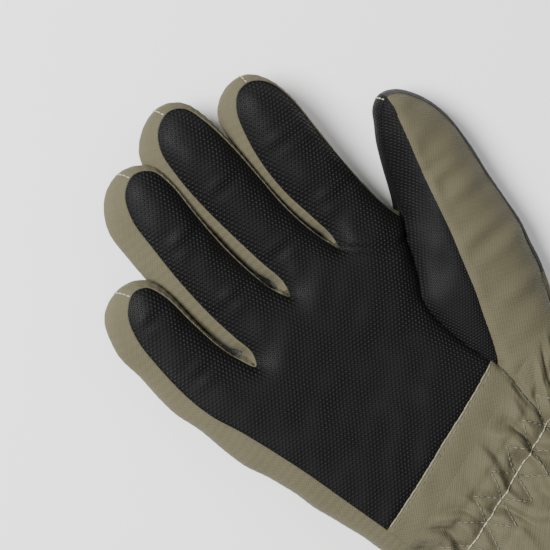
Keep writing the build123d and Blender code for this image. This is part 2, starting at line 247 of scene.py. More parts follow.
control = [(*point, k) for k, (_, points) in enumerate(OUTLINE) for point in points]
loop = smooth_curve(control, LOOP_STEP)
loop_owner = np.array([OUTLINE[k][0] for k in np.clip(np.round(loop[:, 4]).astype(int), 0, len(OUTLINE) - 1)])
loop = loop[:, :4]
keep = beyond(loop) < SHEET_REACH
loop, loop_owner = loop[keep], loop_owner[keep]
for end in (0, -1):
    loop[end, :2] = palm_line(SHEET_REACH, across(loop[end])[0])
loop_count = len(loop)
loop_run = np.concatenate([[0], np.cumsum(np.linalg.norm(np.diff(loop[:, :2], axis=0), axis=1))])


def loop_index(point):
    """The outline's vertex nearest a point."""
    return int(np.argmin(np.linalg.norm(loop[:, :2] - np.array(point)[:2], axis=1)))


def average(values, reach):
    """A moving average along the outline."""
    padded = np.pad(values, reach, mode="edge")
    return np.convolve(padded, np.ones(2 * reach + 1) / (2 * reach + 1), mode="valid")


def smooth01(x):
    x = np.clip(x, 0, 1)
    return x * x * (3 - 2 * x)


# ---- digits: where each starts, splits and ends
# distances along the digit from its first fold: start of the first bend, split, end of the second bend
ZONES = {
    "index": (-14.5, 15.25, 16, 48), "middle": (-14.5, 17, 20, 54), "ring": (-14.5, 15.25, 16, 48),
    "little": (-14, 14.25, 15, 39.5), "thumb": (-11, 9.5, 10, 27),
}
digits = {}
for name in DIGITS:
    first = joint_at(f"{name}_base_fold")
    ahead = digit_axis(name)
    side = np.array([ahead[1], -ahead[0]])
    start, split, second_start, second_end = ZONES[name]
    span = np.where(loop_owner == name)[0]
    span = (span[0] - 14, span[-1] + 14)
    cuts = []
    for at in (start, split):
        t = (loop[:, :2] - first[:2]) @ ahead[:2] - at
        hits = [i for i in range(max(span[0], 0), min(span[1], loop_count - 1)) if (t[i] > 0) != (t[i + 1] > 0)]
        left = hits[0] if abs(t[hits[0]]) < abs(t[hits[0] + 1]) else hits[0] + 1
        right = hits[-1] if abs(t[hits[-1]]) < abs(t[hits[-1] + 1]) else hits[-1] + 1
        cuts.append((left, right))
    digits[name] = {
        "first": first, "ahead": ahead, "side": side, "base": cuts[0], "mid": cuts[1],
        "bend1": (first + ahead * start, first + ahead * split),
        "bend2": (first + ahead * second_start, first + ahead * second_end),
        "length": float(((loop[cuts[0][0]:cuts[0][1], :2] - first[:2]) @ ahead[:2]).max() - start),
        "start": start,
    }


def section_of(points, name):
    """Distance along a digit from its first fold, and across it, for points in plan."""
    d = digits[name]
    rel = np.atleast_2d(points)[:, :2] - d["first"][:2]
    return rel @ d["ahead"][:2], rel @ d["side"][:2]


# ---- flat mesh of the front
plan_points = []
plan_edges = []


def plan_point(xy, snap=0.35):
    """Index of a point in the flat mesh, reusing one that is already there."""
    if plan_points:
        gap = np.linalg.norm(np.array(plan_points) - np.array(xy)[:2], axis=1)
        near = int(np.argmin(gap))
        if gap[near] < snap:
            return near
    plan_points.append((float(xy[0]), float(xy[1])))
    return len(plan_points) - 1


def plan_line(line):
    """Adds a polyline's points and edges to the flat mesh."""
    ids = [plan_point(p) for p in line]
    for a, b in zip(ids[:-1], ids[1:]):
        if a != b:
            plan_edges.append((a, b))


def straight(a, b, step=SPACING):
    """Evenly spaced points from a to b."""
    a, b = np.array(a, float)[:2], np.array(b, float)[:2]
    count = max(2, int(round(np.linalg.norm(b - a) / step)) + 1)
    return a + np.linspace(0, 1, count)[:, None] * (b - a)


for i in range(loop_count):
    plan_points.append((float(loop[i, 0]), float(loop[i, 1])))
for i in range(loop_count - 1):
    plan_edges.append((i, i + 1))

cut_line = straight(loop[-1], loop[0])
plan_line(cut_line)
crossing = np.argmin(np.abs(beyond(loop[:loop_count // 4])))      # the seam starts on the little finger's side
palm_seam = straight(loop[crossing], PALM_CORNER)
corner_reach = across(np.array(PALM_CORNER))[0]
side_seam = straight(THUMB_CORNER, palm_line(SHEET_REACH, corner_reach - 2.0))
seam_start = [*loop[loop_index(THUMB_PALM_SEAM[0])][:2], THUMB_PALM_SEAM[0][2]]
thumb_palm_seam = smooth_curve([seam_start] + THUMB_PALM_SEAM[1:], SPACING)
ridge_top = loop[loop_index(THUMB_TIP_PLACE)]
thumb_ridge = smooth_curve([[ridge_top[0], ridge_top[1], ridge_top[3]]] + THUMB_RIDGE_SEAM, SPACING)
cross_seam = smooth_curve(INDEX_CROSS_SEAM, SPACING)
cross_seam[0] = loop[loop_index(INDEX_CROSS_SEAM[0]), :2]
cross_seam[-1] = thumb_palm_seam[np.argmin(np.linalg.norm(thumb_palm_seam[:, :2] - cross_seam[-1], axis=1)), :2]
for line in (palm_seam, side_seam, thumb_palm_seam[:, :2], thumb_ridge[:, :2], cross_seam):
    plan_line(line)
digit_cuts = [straight(*loop[list(digits[name][key])]) for name in DIGITS for key in ("base", "mid")]
for line in digit_cuts:
    plan_line(line)
outline_polygon = np.array(plan_points[:loop_count])
low, high = outline_polygon.min(0), outline_polygon.max(0)
rows_y = np.arange(low[1], high[1], SPACING * 0.866)
grid = np.array([
    (x, y) for k, y in enumerate(rows_y) for x in np.arange(low[0] + (k % 2) * SPACING / 2, high[0], SPACING)
])
grid = grid[inside(grid, outline_polygon)]
closed_outline = np.vstack([outline_polygon, outline_polygon[:1]])
for line in [closed_outline, palm_seam, side_seam, thumb_palm_seam, thumb_ridge, cross_seam] + digit_cuts:
    grid = grid[distance_to(grid, line) > SPACING * 0.5]
plan_points += [tuple(p) for p in grid]

made = delaunay_2d_cdt([Vector(p) for p in plan_points], sorted(set(plan_edges)), [], 1, 1e-5)
flat = np.array([tuple(v) for v in made[0]], float)
triangles = np.array(made[2], int)
where = {}
for new, olds in enumerate(made[3]):
    for old in olds:
        where[old] = new
loop_ids = np.array([where[i] for i in range(loop_count)])
middles = flat[triangles].mean(1)
inner = inside(middles, outline_polygon)
triangles = triangles[inner]
middles = middles[inner]
a, b, c = (flat[triangles[:, k]] for k in range(3))
area2 = (b[:, 0] - a[:, 0]) * (c[:, 1] - a[:, 1]) - (b[:, 1] - a[:, 1]) * (c[:, 0] - a[:, 0])
triangles[area2 < 0] = triangles[area2 < 0][:, ::-1]
solid = np.abs(area2) > 1e-6
triangles, middles = triangles[solid], middles[solid]
count = len(flat)

# ---- which panel each triangle belongs to
polygons = {}
for name in DIGITS:
    (a, b), (c, d) = digits[name]["base"], digits[name]["mid"]
    polygons[name] = loop[a:b + 1, :2]
    polygons[name + "_tip"] = loop[c:d + 1, :2]
area = np.array(["palm"] * len(triangles), dtype=object)
for name in DIGITS:
    area[inside(middles, polygons[name])] = name + "_base"
    area[inside(middles, polygons[name + "_tip"])] = name + "_tip"

thumb_left = loop[loop_index(WEB_PLACE):loop_index(THUMB_TIP_PLACE) + 1, :2]
thumb_front = np.vstack([thumb_left, thumb_ridge[:, :2], thumb_palm_seam[::-1, :2]])
thumb_side = np.vstack([
    thumb_ridge[:, :2], side_seam, palm_line(SHEET_REACH + 5, corner_reach), palm_line(SHEET_REACH + 5, 90),
    (130, 0), (130, 90), (THUMB_TIP_PLACE[0], 90), ridge_top[:2],
])
in_thumb_front = inside(middles, thumb_front)
in_thumb_side = inside(middles, thumb_side) & ~in_thumb_front
seam_run = palm_seam[-1] - palm_seam[0]
from_seam = middles - palm_seam[0]
past_seam = (from_seam[:, 0] * seam_run[1] - from_seam[:, 1] * seam_run[0] > 0) & ~in_thumb_side & ~in_thumb_front

# ---- heights of the sheets
edges = {}
for k in range(3):
    i, j, o = triangles[:, k], triangles[:, (k + 1) % 3], triangles[:, (k + 2) % 3]
    u, v = flat[i] - flat[o], flat[j] - flat[o]
    cot = (u * v).sum(1) / np.maximum(np.abs(u[:, 0] * v[:, 1] - u[:, 1] * v[:, 0]), 1e-9)
    for x, y, w in zip(np.minimum(i, j), np.maximum(i, j), cot / 2):
        edges[(x, y)] = edges.get((x, y), 0.0) + w
edge_ids = np.array(list(edges), int)
edge_weight = np.maximum(np.array(list(edges.values())), 0.02)
mass = np.bincount(triangles.ravel(), np.repeat(np.abs(area2[solid]) / 6, 3), count) + 1e-9


def settle(goal, pull, fixed_ids, fixed_values):
    """Heights of a stretched sheet that is pulled towards goal, over the length pull, and held at fixed points."""
    free = np.ones(count, bool)
    free[fixed_ids] = False
    held = np.zeros(count)
    held[fixed_ids] = fixed_values
    i, j = edge_ids.T
    weight = edge_weight * (pull[i] * pull[j])

    def apply(z):
        flow = weight * (z[i] - z[j])
        return mass * z + np.bincount(i, flow, count) - np.bincount(j, flow, count)

    right = (mass * goal - apply(held)) * free
    diagonal = mass + np.bincount(i, weight, count) + np.bincount(j, weight, count)
    z = np.where(free, goal - held, 0)
    r = (right - apply(z)) * free
    q = r / diagonal
    d = q.copy()
    rq = r @ q
    for _ in range(500):
        ad = apply(d) * free
        step = rq / (d @ ad)
        z += step * d
        r -= step * ad
        if np.abs(r).max() < 1e-5:
            break
        q = r / diagonal
        new = r @ q
        d = q + (new / rq) * d
        rq = new
    return z + held


def project(points, line):
    """Nearest place on a polyline with heights: distance from it and its height there."""
    best = np.full(len(points), FAR)
    height = np.zeros(len(points))
    for a, b in zip(line[:-1], line[1:]):
        d = b[:2] - a[:2]
        t = np.clip(((points - a[:2]) @ d) / max(d @ d, 1e-12), 0, 1)
        gap = np.linalg.norm(points - a[:2] - t[:, None] * d, axis=1)
        near = gap < best
        best[near] = gap[near]
        height[near] = (a[2] + t * (b[2] - a[2]))[near]
    return best, height


def waves(points, scale, amount, seed, stretch=(1.0, 1.0)):
    """Soft random unevenness with features about scale long."""
    r = np.random.default_rng(seed)
    total = np.zeros(len(points))
    for _ in range(10):
        angle, phase = r.uniform(0, 2 * math.pi, 2)
        k = 2 * math.pi / (scale * r.uniform(0.7, 1.5))
        along = points[:, 0] * stretch[0] * math.cos(angle) + points[:, 1] * stretch[1] * math.sin(angle)
        total += np.sin(k * along + phase)
    return total * amount / 3


# how far each digit's share of the sheet reaches on its two sides
SHARE_SIDES = {
    "little": (-16.0, 16.2), "ring": (-15.0, 14.5), "middle": (-13.2, 15.2), "index": (-15.5, 16.5),
    "thumb": (-27.0, 21.0),
}


def digit_share(points):
    """For each digit, how much a point in plan belongs to it, rising from its base."""
    shares = {}
    for name in DIGITS:
        t, s = section_of(points, name)
        low_side, high_side = SHARE_SIDES[name]
        near = smooth01((t - digits[name]["start"]) / (12 if name == "thumb" else 18))
        near *= (s > low_side) & (s < high_side)
        shares[name] = near
    return shares


shares = digit_share(flat)
fingers_share = sum(shares[n] for n in DIGITS if n != "thumb")
fingers_share = np.clip(fingers_share, 0, 1)
lean = sum(shares[n] * LEAN[n] for n in DIGITS)


def curl(points):
    """How far the relaxed digits rise towards their tips."""
    share = digit_share(points)
    total = np.zeros(len(points))
    for name in DIGITS:
        t, _ = section_of(points, name)
        run = np.clip((t - digits[name]["start"]) / digits[name]["length"], 0, 1)
        total += share[name] * run ** 2 * (THUMB_RISE if name == "thumb" else FINGER_RISE)
    return total


ridge_gap, ridge_height = project(flat, thumb_ridge)
valley_gap, valley_height = project(flat, thumb_palm_seam)
on_ridge = np.where(ridge_gap < 0.05)[0]
on_valley = np.where(valley_gap < 0.05)[0]
is_loop = np.zeros(count, bool)
is_loop[loop_ids] = True
on_ridge = on_ridge[~is_loop[on_ridge]]
on_valley = on_valley[~is_loop[on_valley] & (ridge_gap[on_valley] > 0.05)]
fixed = np.concatenate([loop_ids, on_ridge, on_valley])
fixed_z = np.concatenate([loop[:, 3], ridge_height[on_ridge], valley_height[on_valley]])

goal = 28.0 * np.ones(count)
goal -= 3.5 * np.exp(-(((flat[:, 0] + 4) / 26) ** 2 + ((flat[:, 1] - 8) / 24) ** 2))
goal += 1.5 * np.exp(-(((flat[:, 0] - 18) / 16) ** 2 + ((flat[:, 1] + 22) / 12) ** 2))
goal += 2.0 * fingers_share
in_side = inside(flat, thumb_side)
goal[in_side] = 30.5
goal[inside(flat, thumb_front)] = 29.5
settle_to_waist = smooth01(beyond(flat) / (SHEET_REACH + 4))
goal -= settle_to_waist * np.where(in_side, 3.0, 1.0)
goal += waves(flat, 26, 0.5, 11)
pull = np.full(count, 7.5)
pull[in_side] = 9.0
front_z = settle(goal, pull, fixed, fixed_z)

bottom_z = np.where(np.isin(loop_owner, ("thumb", "radial")), 5.5, 6.5)
bottom_z = average(bottom_z.astype(float), 12)
back_goal = np.full(count, -1.8) + waves(flat, 30, 0.35, 12)
back_z = settle(back_goal, np.full(count, 8.0), loop_ids, bottom_z)
above_floor = back_z - FLOOR_GAP
resting = np.log1p(np.exp(np.clip(above_floor * 1.6, -30, 30))) / 1.6     # flattens softly onto the floor
back_z = FLOOR_GAP + np.where(above_floor > 6, above_floor, resting)


def groove(gap, depth, width=1.3):
    """A seam's dip in the sheet."""
    return -depth * np.exp(-(gap / width) ** 2)


palm_gap = distance_to(flat, palm_seam)
cross_gap = distance_to(flat, cross_seam)
side_gap = distance_to(flat, side_seam)
front_z += groove(palm_gap, 0.9) + groove(cross_gap, 1.1, 1.4)
front_z += groove(side_gap, 1.5, 1.2) + groove(ridge_gap, 0.7, 1.2)
cross_run = cross_seam[-1] - cross_seam[0]
index_side = ((flat[:, 1] - cross_seam[0][1]) * cross_run[0] - (flat[:, 0] - cross_seam[0][0]) * cross_run[1]) > 0
front_z += 0.7 * np.exp(-cross_gap / 6.0) * index_side
front_z += groove(valley_gap, 0.7, 1.2)
# the palm panel is slightly gathered into its seams
for gap, seed in ((palm_gap, 3), (side_gap, 4), (ridge_gap, 5)):
    front_z += 0.22 * np.exp(-(gap / 4.0) ** 2) * np.sin(2 * math.pi * (flat[:, 0] * 0.8 + flat[:, 1]) / 3.6 + seed)
# soft creases across the side of the thumb and where the fingers bend
side_weight = in_side * smooth01(ridge_gap / 8.0)
front_z += side_weight * waves(flat, 13, 0.55, 21, (0.45, 1.15))
front_z += (1 - side_weight) * waves(flat, 15, 0.22, 22)
for name in DIGITS:
    t, s = section_of(flat, name)
    for at, seed in ((0.0, 1), (ZONES[name][2] + 15, 2)):
        crease = np.exp(-((t - at) / 6.0) ** 2) * np.exp(-(s / 10.0) ** 2)
        front_z -= 0.35 * crease * np.cos(2 * math.pi * (t - at) / 7.5 + seed)
lift = curl(flat)
front_z += lift
back_z += lift
front = np.column_stack([flat, front_z])
back = np.column_stack([flat[:, 0] + lean, flat[:, 1], back_z])
front[loop_ids, 2] = loop[:, 3] + curl(loop[:, :2])
back[loop_ids, 2] = bottom_z + curl(loop[:, :2])

# ---- side walls, rows from the front seam to the back one
ahead = np.gradient(np.column_stack([average(loop[:, 0], 2), average(loop[:, 1], 2)]), axis=0)
ahead /= np.maximum(np.linalg.norm(ahead, axis=1), 1e-9)[:, None]
outward = np.column_stack([-ahead[:, 1], ahead[:, 0]])
bulge = loop[:, 2]
pucker = np.sin(2 * math.pi * loop_run / 3.3 + 1.5 * np.sin(loop_run / 17.0))
lip = np.clip(0.1 + bulge * 0.35, 0.3, 1.0) * (1 + 0.18 * pucker)
thumb_edge = smooth01((loop_run - loop_run[digits["index"]["mid"][1]]) / 4.0)
lip *= 1 - 0.6 * thumb_edge
profile = [(0.0, 0.0), (0.02, 0.55), (0.07, 1.0)] + [(v, None) for v in np.linspace(0.14, 1.0, WALL_ROWS)]
rows = []
top_z, low_z = front[loop_ids, 2], back[loop_ids, 2]
lean_loop = lean[loop_ids]
wrinkle = waves(np.column_stack([loop_run, np.zeros(loop_count)]), 22, 0.35, 31)
for k, (v, edge) in enumerate(profile):
    if edge is None:
        reach = bulge * max(math.sin(math.pi * v), 0.0) ** 0.75 + lip * (1 - v) ** 2
        reach = reach + wrinkle * math.sin(math.pi * v) * np.clip(bulge / 4, 0, 1)
        z = top_z + (low_z - top_z) * v
    else:
        reach = lip * edge
        z = top_z + (low_z - top_z) * v + (0.5 if k == 1 else 0.25 if k == 2 else 0.0) * (lip > 0)
    rows.append(np.column_stack([
        loop[:, 0] + outward[:, 0] * reach + lean_loop * v, loop[:, 1] + outward[:, 1] * reach, z
    ]))
rows[0] = front[loop_ids].copy()
rows[-1] = back[loop_ids].copy()
wall = np.array(rows)                      # row, outline vertex, xyz
wall_depth = np.concatenate([[np.zeros(loop_count)], np.cumsum(np.linalg.norm(np.diff(wall, axis=0), axis=2), axis=0)])


# ---- tube from the sheets to the hem
on_cut = np.where(np.abs(beyond(flat) - SHEET_REACH) < 0.02)[0]
on_cut = on_cut[np.argsort(across(flat[on_cut]))]
first_ring = np.vstack([front[on_cut], wall[1:-1, -1], back[on_cut[::-1]], wall[-2:0:-1, 0]])
ring = np.empty((2 * len(first_ring) + 1, 3))
ring[0:-1:2] = first_ring
ring[1::2] = (first_ring + np.roll(first_ring, -1, axis=0)) / 2
ring[-1] = ring[0]
ring_side = across(ring)
ring_low, ring_high = ring_side.min(), ring_side.max()
ring_middle, ring_half = (ring_low + ring_high) / 2, (ring_high - ring_low) / 2
ring_z = (ring[:, 2].min() + ring[:, 2].max()) / 2
ring_tall = (ring[:, 2].max() - ring[:, 2].min()) / 2
ring_angle = np.unwrap(np.arctan2((ring[:, 2] - ring_z) / ring_tall, (ring_side - ring_middle) / ring_half))
steady = np.linspace(ring_angle[0], ring_angle[-1], len(ring_angle))
uneven = np.pad((ring_angle - steady)[:-1], 9, mode="wrap")
uneven = np.convolve(uneven, np.ones(19) / 19, mode="valid")
ring_angle = steady + np.append(uneven, uneven[0])

STATIONS = np.array([SHEET_REACH, 22, WAIST, 44, 60, 85, HEM])
HALF_WIDTHS = np.array([ring_half, 55.0, 52.5, 55.0, 57.5, 60.0, 62.0])
MIDDLES = np.array([ring_middle, 3.0, 1.0, 0.5, 0.0, 0.0, 0.0])
HALF_HEIGHTS = np.array([ring_tall, 14.2, 14.2, 16.0, 17.8, 20.4, 22.6])


def smooth_interp(at, x, y):
    """Values on a smooth curve through (x, y)."""
    curve = smooth_curve(np.column_stack([x, y, y]), 0.5)
    return np.interp(at, curve[:, 0], curve[:, 1])


def oval(angle, half_width, half_height, power=2.7):
    """Points of a rounded rectangle for angles round its middle."""
    c, s = np.cos(angle), np.sin(angle)
    r = (np.abs(c) ** power + np.abs(s) ** power) ** (-1 / power)
    return half_width * r * c, half_height * r * s


tube_at = np.concatenate([np.arange(SHEET_REACH, 60, 1.1), np.arange(60, HEM + 1.0, 1.7)])
tube_at[-1] = HEM
half_widths = smooth_interp(tube_at, STATIONS, HALF_WIDTHS)
ring_middles = smooth_interp(tube_at, STATIONS, MIDDLES)
half_heights = smooth_interp(tube_at, STATIONS, HALF_HEIGHTS)
plain = []
for d, w, m, h in zip(tube_at, half_widths, ring_middles, half_heights):
    ox, oz = oval(ring_angle, w, h)
    share = smooth01((d - SHEET_REACH) / 15.0)
    carried_x = (ring_side - ring_middle) * (w / ring_half) + m
    carried_z = (ring[:, 2] - ring_z) * (h / ring_tall) + h + FLOOR_GAP + (ring_z - ring_tall - FLOOR_GAP) * (1 - share)
    x = carried_x * (1 - share) + (ox + m) * share
    z = carried_z * (1 - share) + (oz + h + FLOOR_GAP) * share
    base = palm_line(d, 0)
    plain.append(np.column_stack([base[0] + ACROSS[0] * x, base[1] + ACROSS[1] * x, z]))
plain = np.array(plain)
waist_row = int(np.argmin(np.abs(tube_at - WAIST)))
around = np.concatenate([[0], np.cumsum(np.linalg.norm(np.diff(plain[waist_row], axis=0), axis=1))])
tube_outward = np.cross(np.gradient(plain, axis=0), np.gradient(plain, axis=1))
tube_outward /= np.maximum(np.linalg.norm(tube_outward, axis=2), 1e-9)[..., None]
tube_outward[:, [0, -1]] = (tube_outward[:, [0]] + tube_outward[:, [-1]]) / 2

total_run = around[-1]
folds = 2 * int(round(total_run / ZIGZAG_PERIOD))
turn = 2 * math.pi * around / total_run
swell = np.zeros_like(plain[..., 0])
repeats = 2 * int(round(total_run / ZIGZAG_PERIOD))
pitch = total_run / repeats
zigzags = []
for start in (0, 1):
    corners = []
    for k in range(start - 2, repeats + start + 2, 2):
        corners += [(WAIST - ZIGZAG_HALF, k * pitch), (WAIST + ZIGZAG_HALF, (k + 1.1) * pitch)]
    zigzags.append(np.array(corners))
tube_grid = np.column_stack([np.repeat(tube_at, len(around)), np.tile(around, len(tube_at))])
zigzag_gap = np.minimum(*[distance_to(tube_grid, z) for z in zigzags]).reshape(plain.shape[:2])
side_column = 2 * int(np.argmin(np.linalg.norm(flat[on_cut] - side_seam[-1], axis=1)))
side_run = around[side_column]
for k in range(len(tube_at)):
    off = (tube_at[k] - WAIST)
    wander = 1.1 * np.sin(3 * turn + off / 17) + 0.9 * np.sin(7 * turn + 1.7 - off / 9)
    wander += 0.55 * np.sin(13 * turn + 0.6 + off / 6)
    strength = 0.75 + 0.3 * np.sin(5 * turn + 2.0 + off / 23) + 0.25 * np.sin(11 * turn + off / 8)
    ripple = np.cos(folds * turn + wander * 1.3 + 0.045 * off)
    fade = math.exp(-(abs(off) / 20.0) ** 2.4)
    swell[k] = 2.5 * fade * strength * (ripple * 0.9 - 0.25 * np.cos(2 * (folds * turn + wander * 1.9)))
    for line, depth, width in ((0.0, 1.15, 1.5), (10.5, 0.5, 1.6), (-10.5, 0.5, 1.6)):
        swell[k] -= depth * math.exp(-((off - line) / width) ** 2)
    swell[k] += 0.9 * (math.exp(-((off - 5.3) / 3.2) ** 2) + math.exp(-((off + 5.3) / 3.2) ** 2))
    swell[k] += 0.6 * np.sin(4 * turn + off / 21 + 1.0) * smooth01((off - 12) / 25)
    swell[k] += 0.35 * np.sin(9 * turn - off / 12) * smooth01((off - 6) / 20) * (1 - smooth01((off - 60) / 15))
    swell[k] += -0.75 * np.exp(-(zigzag_gap[k] / 1.15) ** 2) + 0.35 * np.exp(-((zigzag_gap[k] - 3.2) / 1.6) ** 2) * fade
    swell[k] *= smooth01((tube_at[k] - SHEET_REACH) / 7.0)
    side_fade = 1 - smooth01((tube_at[k] - 45) / 12.0)
    swell[k] -= 1.1 * side_fade * np.exp(-((around - side_run) / 1.3) ** 2) * min(1.0, k / 2)
swell = np.maximum(swell, -2.9)
tube = plain + tube_outward * swell[..., None]
tube[..., 2] = np.where(tube[..., 2] < FLOOR_GAP, FLOOR_GAP, tube[..., 2])
tube[0] = ring


def tube_point(row_at, run):
    """Places and outward directions on the tube, by distance beyond the palm seam and round the waist."""
    r = np.interp(row_at, tube_at, np.arange(len(tube_at)))
    c = np.interp(np.mod(run, total_run), around, np.arange(len(around)))
    r0, c0 = np.floor(r).astype(int), np.floor(c).astype(int)
    r1, c1 = np.minimum(r0 + 1, len(tube_at) - 1), np.minimum(c0 + 1, len(around) - 1)
    fr, fc = (r - r0)[:, None], (c - c0)[:, None]

    def mix(a):
        return (a[r0, c0] * (1 - fr) + a[r1, c0] * fr) * (1 - fc) + (a[r0, c1] * (1 - fr) + a[r1, c1] * fr) * fc

    return mix(tube), mix(tube_outward)


# ---- making pieces
class Piece:
    """A mesh in millimetres, kept until its shading normals are known."""

    def __init__(self, name, points, faces, uv, material, moves, stands_for, smooth_with, slot):
        used = sorted({i for f in faces for i in f})
        new = {old: k for k, old in enumerate(used)}
        self.name, self.points = name, np.asarray(points, float)[used]
        self.faces = [tuple(new[i] for i in f) for f in faces]
        self.uv = None if uv is None else np.asarray(uv, float)[used]
        self.material, self.slot, self.smooth_with = material, slot, smooth_with
        self.moves, self.stands_for = moves, stands_for


pieces = []
SHELL = "olive_shell_fabric"
SLOTS = {
    "olive": SHELL, "grip": "black_grip_fabric", "grip_fine": "black_grip_fabric", "soft": "black_wipe_panel",
    "fleece": "fleece_lining", "wadding": "insulation_fleece", "elastic": "elastic_band", "binding": "black_binding",
    "thread": SHELL, "thread_light": SHELL, "edge": SHELL, "thread_dark": "black_binding",
}


def add_piece(name, points, faces, uv, material, moves, stands_for=(), smooth_with=None, slot=None):
    """Keeps a piece; its slot is its material's, unless another is given."""
    faces = [tuple(int(i) for i in f) for f in faces]
    if faces:
        slot = slot or SLOTS[material]
        pieces.append(Piece(name, points, faces, uv, material, moves, stands_for, smooth_with or name, slot))


def grid_faces(rows, columns, closed_rows=False, flip=False):
    """Quads of a grid of points stored row by row."""
    faces = []
    for r in range(rows if closed_rows else rows - 1):
        for c in range(columns - 1):
            r2 = (r + 1) % rows
            quad = (r * columns + c, r2 * columns + c, r2 * columns + c + 1, r * columns + c + 1)
            faces.append(quad[::-1] if flip else quad)
    return faces


HAND = ("ride", "hand")
CUFF = ("ride", "cuff")
WRIST_START = np.append(palm_line(0, 0), 14.5)
WRIST_END = np.append(palm_line(2 * PALM_TO_FOLD, 0), 14.5)
WRIST_BEND = ("blend", "hand", "cuff", WRIST_START, WRIST_END)


def bend(name, segment):
    d = digits[name]
    if segment == "base":
        return ("blend", "hand", f"{name}_base", *d["bend1"])
    return ("blend", f"{name}_base", f"{name}_tip", *d["bend2"])




def sheet_piece(name, points, mask, material, moves, stands_for, smooth_with, under=False):
    chosen = triangles[mask]
    if under:
        chosen = chosen[:, ::-1]
    add_piece(name, points, chosen, flat, material, moves, stands_for, smooth_with)


on_palm = area == "palm"
palm_mask = on_palm & ~past_seam & ~in_thumb_front & ~in_thumb_side
sheet_piece("palm_front", front, palm_mask, "grip", HAND, ["palm_panel"], "grip")
sheet_piece("wrist_front", front, on_palm & past_seam, "olive", WRIST_BEND, ["wrist_panel"], "wrist")
sheet_piece("thumb_root_front", front, on_palm & in_thumb_front, "grip_fine", HAND,
            ["thumb_root_front_panel"], "thumb_front")
sheet_piece("thumb_root_side", front, on_palm & in_thumb_side, "olive", WRIST_BEND,
            ["thumb_root_side_walls"], "wrist_side")
back_side = inside(middles, thumb_side) & (beyond(middles) < 0)
sheet_piece("back_of_hand", back, on_palm & ~back_side, "olive", WRIST_BEND, ["back_of_hand_panel"], "back")
sheet_piece("thumb_root_back", back, on_palm & back_side, "soft", HAND, ["thumb_root_back_panel"], "thumb_back")
for name in DIGITS:
    for segment in ("base", "tip"):
        part = f"{name}_{segment}"
        here = area == part
        moves = bend(name, segment)
        fronts, backs = [f"{part}_front_panel"], [f"{part}_back_panel"]
        if name == "thumb":
            sheet_piece(f"{part}_front", front, here & ~in_thumb_side, "grip_fine", moves, fronts, "thumb_front")
            sheet_piece(f"{part}_ridge_side", front, here & in_thumb_side, "olive", moves,
                        [f"{part}_side_walls"], "wrist_side")
            sheet_piece(f"{part}_back", back, here, "soft", moves, backs, "thumb_back", True)
        else:
            sheet_piece(f"{part}_front", front, here, "grip", moves, fronts, "grip")
            sheet_piece(f"{part}_back", back, here, "olive", moves, backs, "back", True)
for p in pieces:
    if p.name in ("back_of_hand", "thumb_root_back"):
        p.faces = [f[::-1] for f in p.faces]

wall_points = wall.reshape(-1, 3)
wall_uv = np.column_stack([np.tile(loop_run, len(wall)), wall_depth.ravel()])
wall_rows = len(wall)


def wall_piece(name, start, end, material, moves, stands_for, smooth_with="wall"):
    faces = [
        (r * loop_count + i, r * loop_count + i + 1, (r + 1) * loop_count + i + 1, (r + 1) * loop_count + i)
        for r in range(wall_rows - 1) for i in range(start, end)
    ]
    add_piece(name, wall_points, faces, wall_uv, material, moves, stands_for, smooth_with)


previous = 0
BETWEEN = [
    ("ulnar_wall", "little_side_wall"), ("fork_little_ring", "finger_fork_roots"),
    ("fork_ring_middle", "finger_fork_roots"), ("fork_middle_index", "finger_fork_roots"),
    ("thumb_web_wall", "index_side_wall"),
]
for name, (between, node) in zip(DIGITS, BETWEEN):
    (a, b), (c, d) = digits[name]["base"], digits[name]["mid"]
    wall_piece(between, previous, a, "olive", WRIST_BEND if name == "little" else HAND, [node])
    if name == "thumb":
        top = loop_index(THUMB_TIP_PLACE)
        split = b + int(np.argmin(np.abs(beyond(loop[b:]))))
        for piece_name, start, end, material, moves, node in (
                ("thumb_base_wall_1", a, c, "grip_fine", bend(name, "base"), "thumb_base_front_panel"),
                ("thumb_tip_wall_1", c, top, "grip_fine", bend(name, "tip"), "thumb_tip_front_panel"),
                ("thumb_tip_wall_2", top, d, "soft", bend(name, "tip"), "thumb_tip_back_panel"),
                ("thumb_base_wall_2", d, b, "soft", bend(name, "base"), "thumb_base_back_panel"),
                ("thumb_root_wall", b, split, "soft", HAND, "thumb_root_back_panel")):
            wall_piece(piece_name, start, end, material, moves, [node], "thumb_wall")
        wall_piece("wrist_wall", split, loop_count - 1, "olive", WRIST_BEND, ["index_side_wall"], "wrist_wall")
    else:
        base_walls = [f"{name}_base_side_walls"]
        wall_piece(f"{name}_base_wall_1", a, c, "olive", bend(name, "base"), base_walls)
        wall_piece(f"{name}_tip_wall", c, d, "olive", bend(name, "tip"), [f"{name}_tip_side_walls"])
        wall_piece(f"{name}_base_wall_2", d, b, "olive", bend(name, "base"), base_walls)
    previous = b

# the tube: front half and back half of the shell
columns = tube.shape[1]
tube_points = tube.reshape(-1, 3)
tube_uv = np.column_stack([
    np.tile(around, len(tube_at)), np.repeat(tube_at, columns)
])
half = 2 * (len(on_cut) - 1) + len(wall[1:-1]) + 1
front_faces, back_faces = [], []
for face in grid_faces(len(tube_at), columns):
    column = face[0] % columns
    (front_faces if column < half or column >= columns - len(wall) else back_faces).append(face)
add_piece("cuff_front", tube_points, front_faces, tube_uv, "olive", WRIST_BEND, ["cuff_front_panel"], "tube")
add_piece("cuff_back", tube_points, back_faces, tube_uv, "olive", WRIST_BEND, ["cuff_back_panel"], "tube")


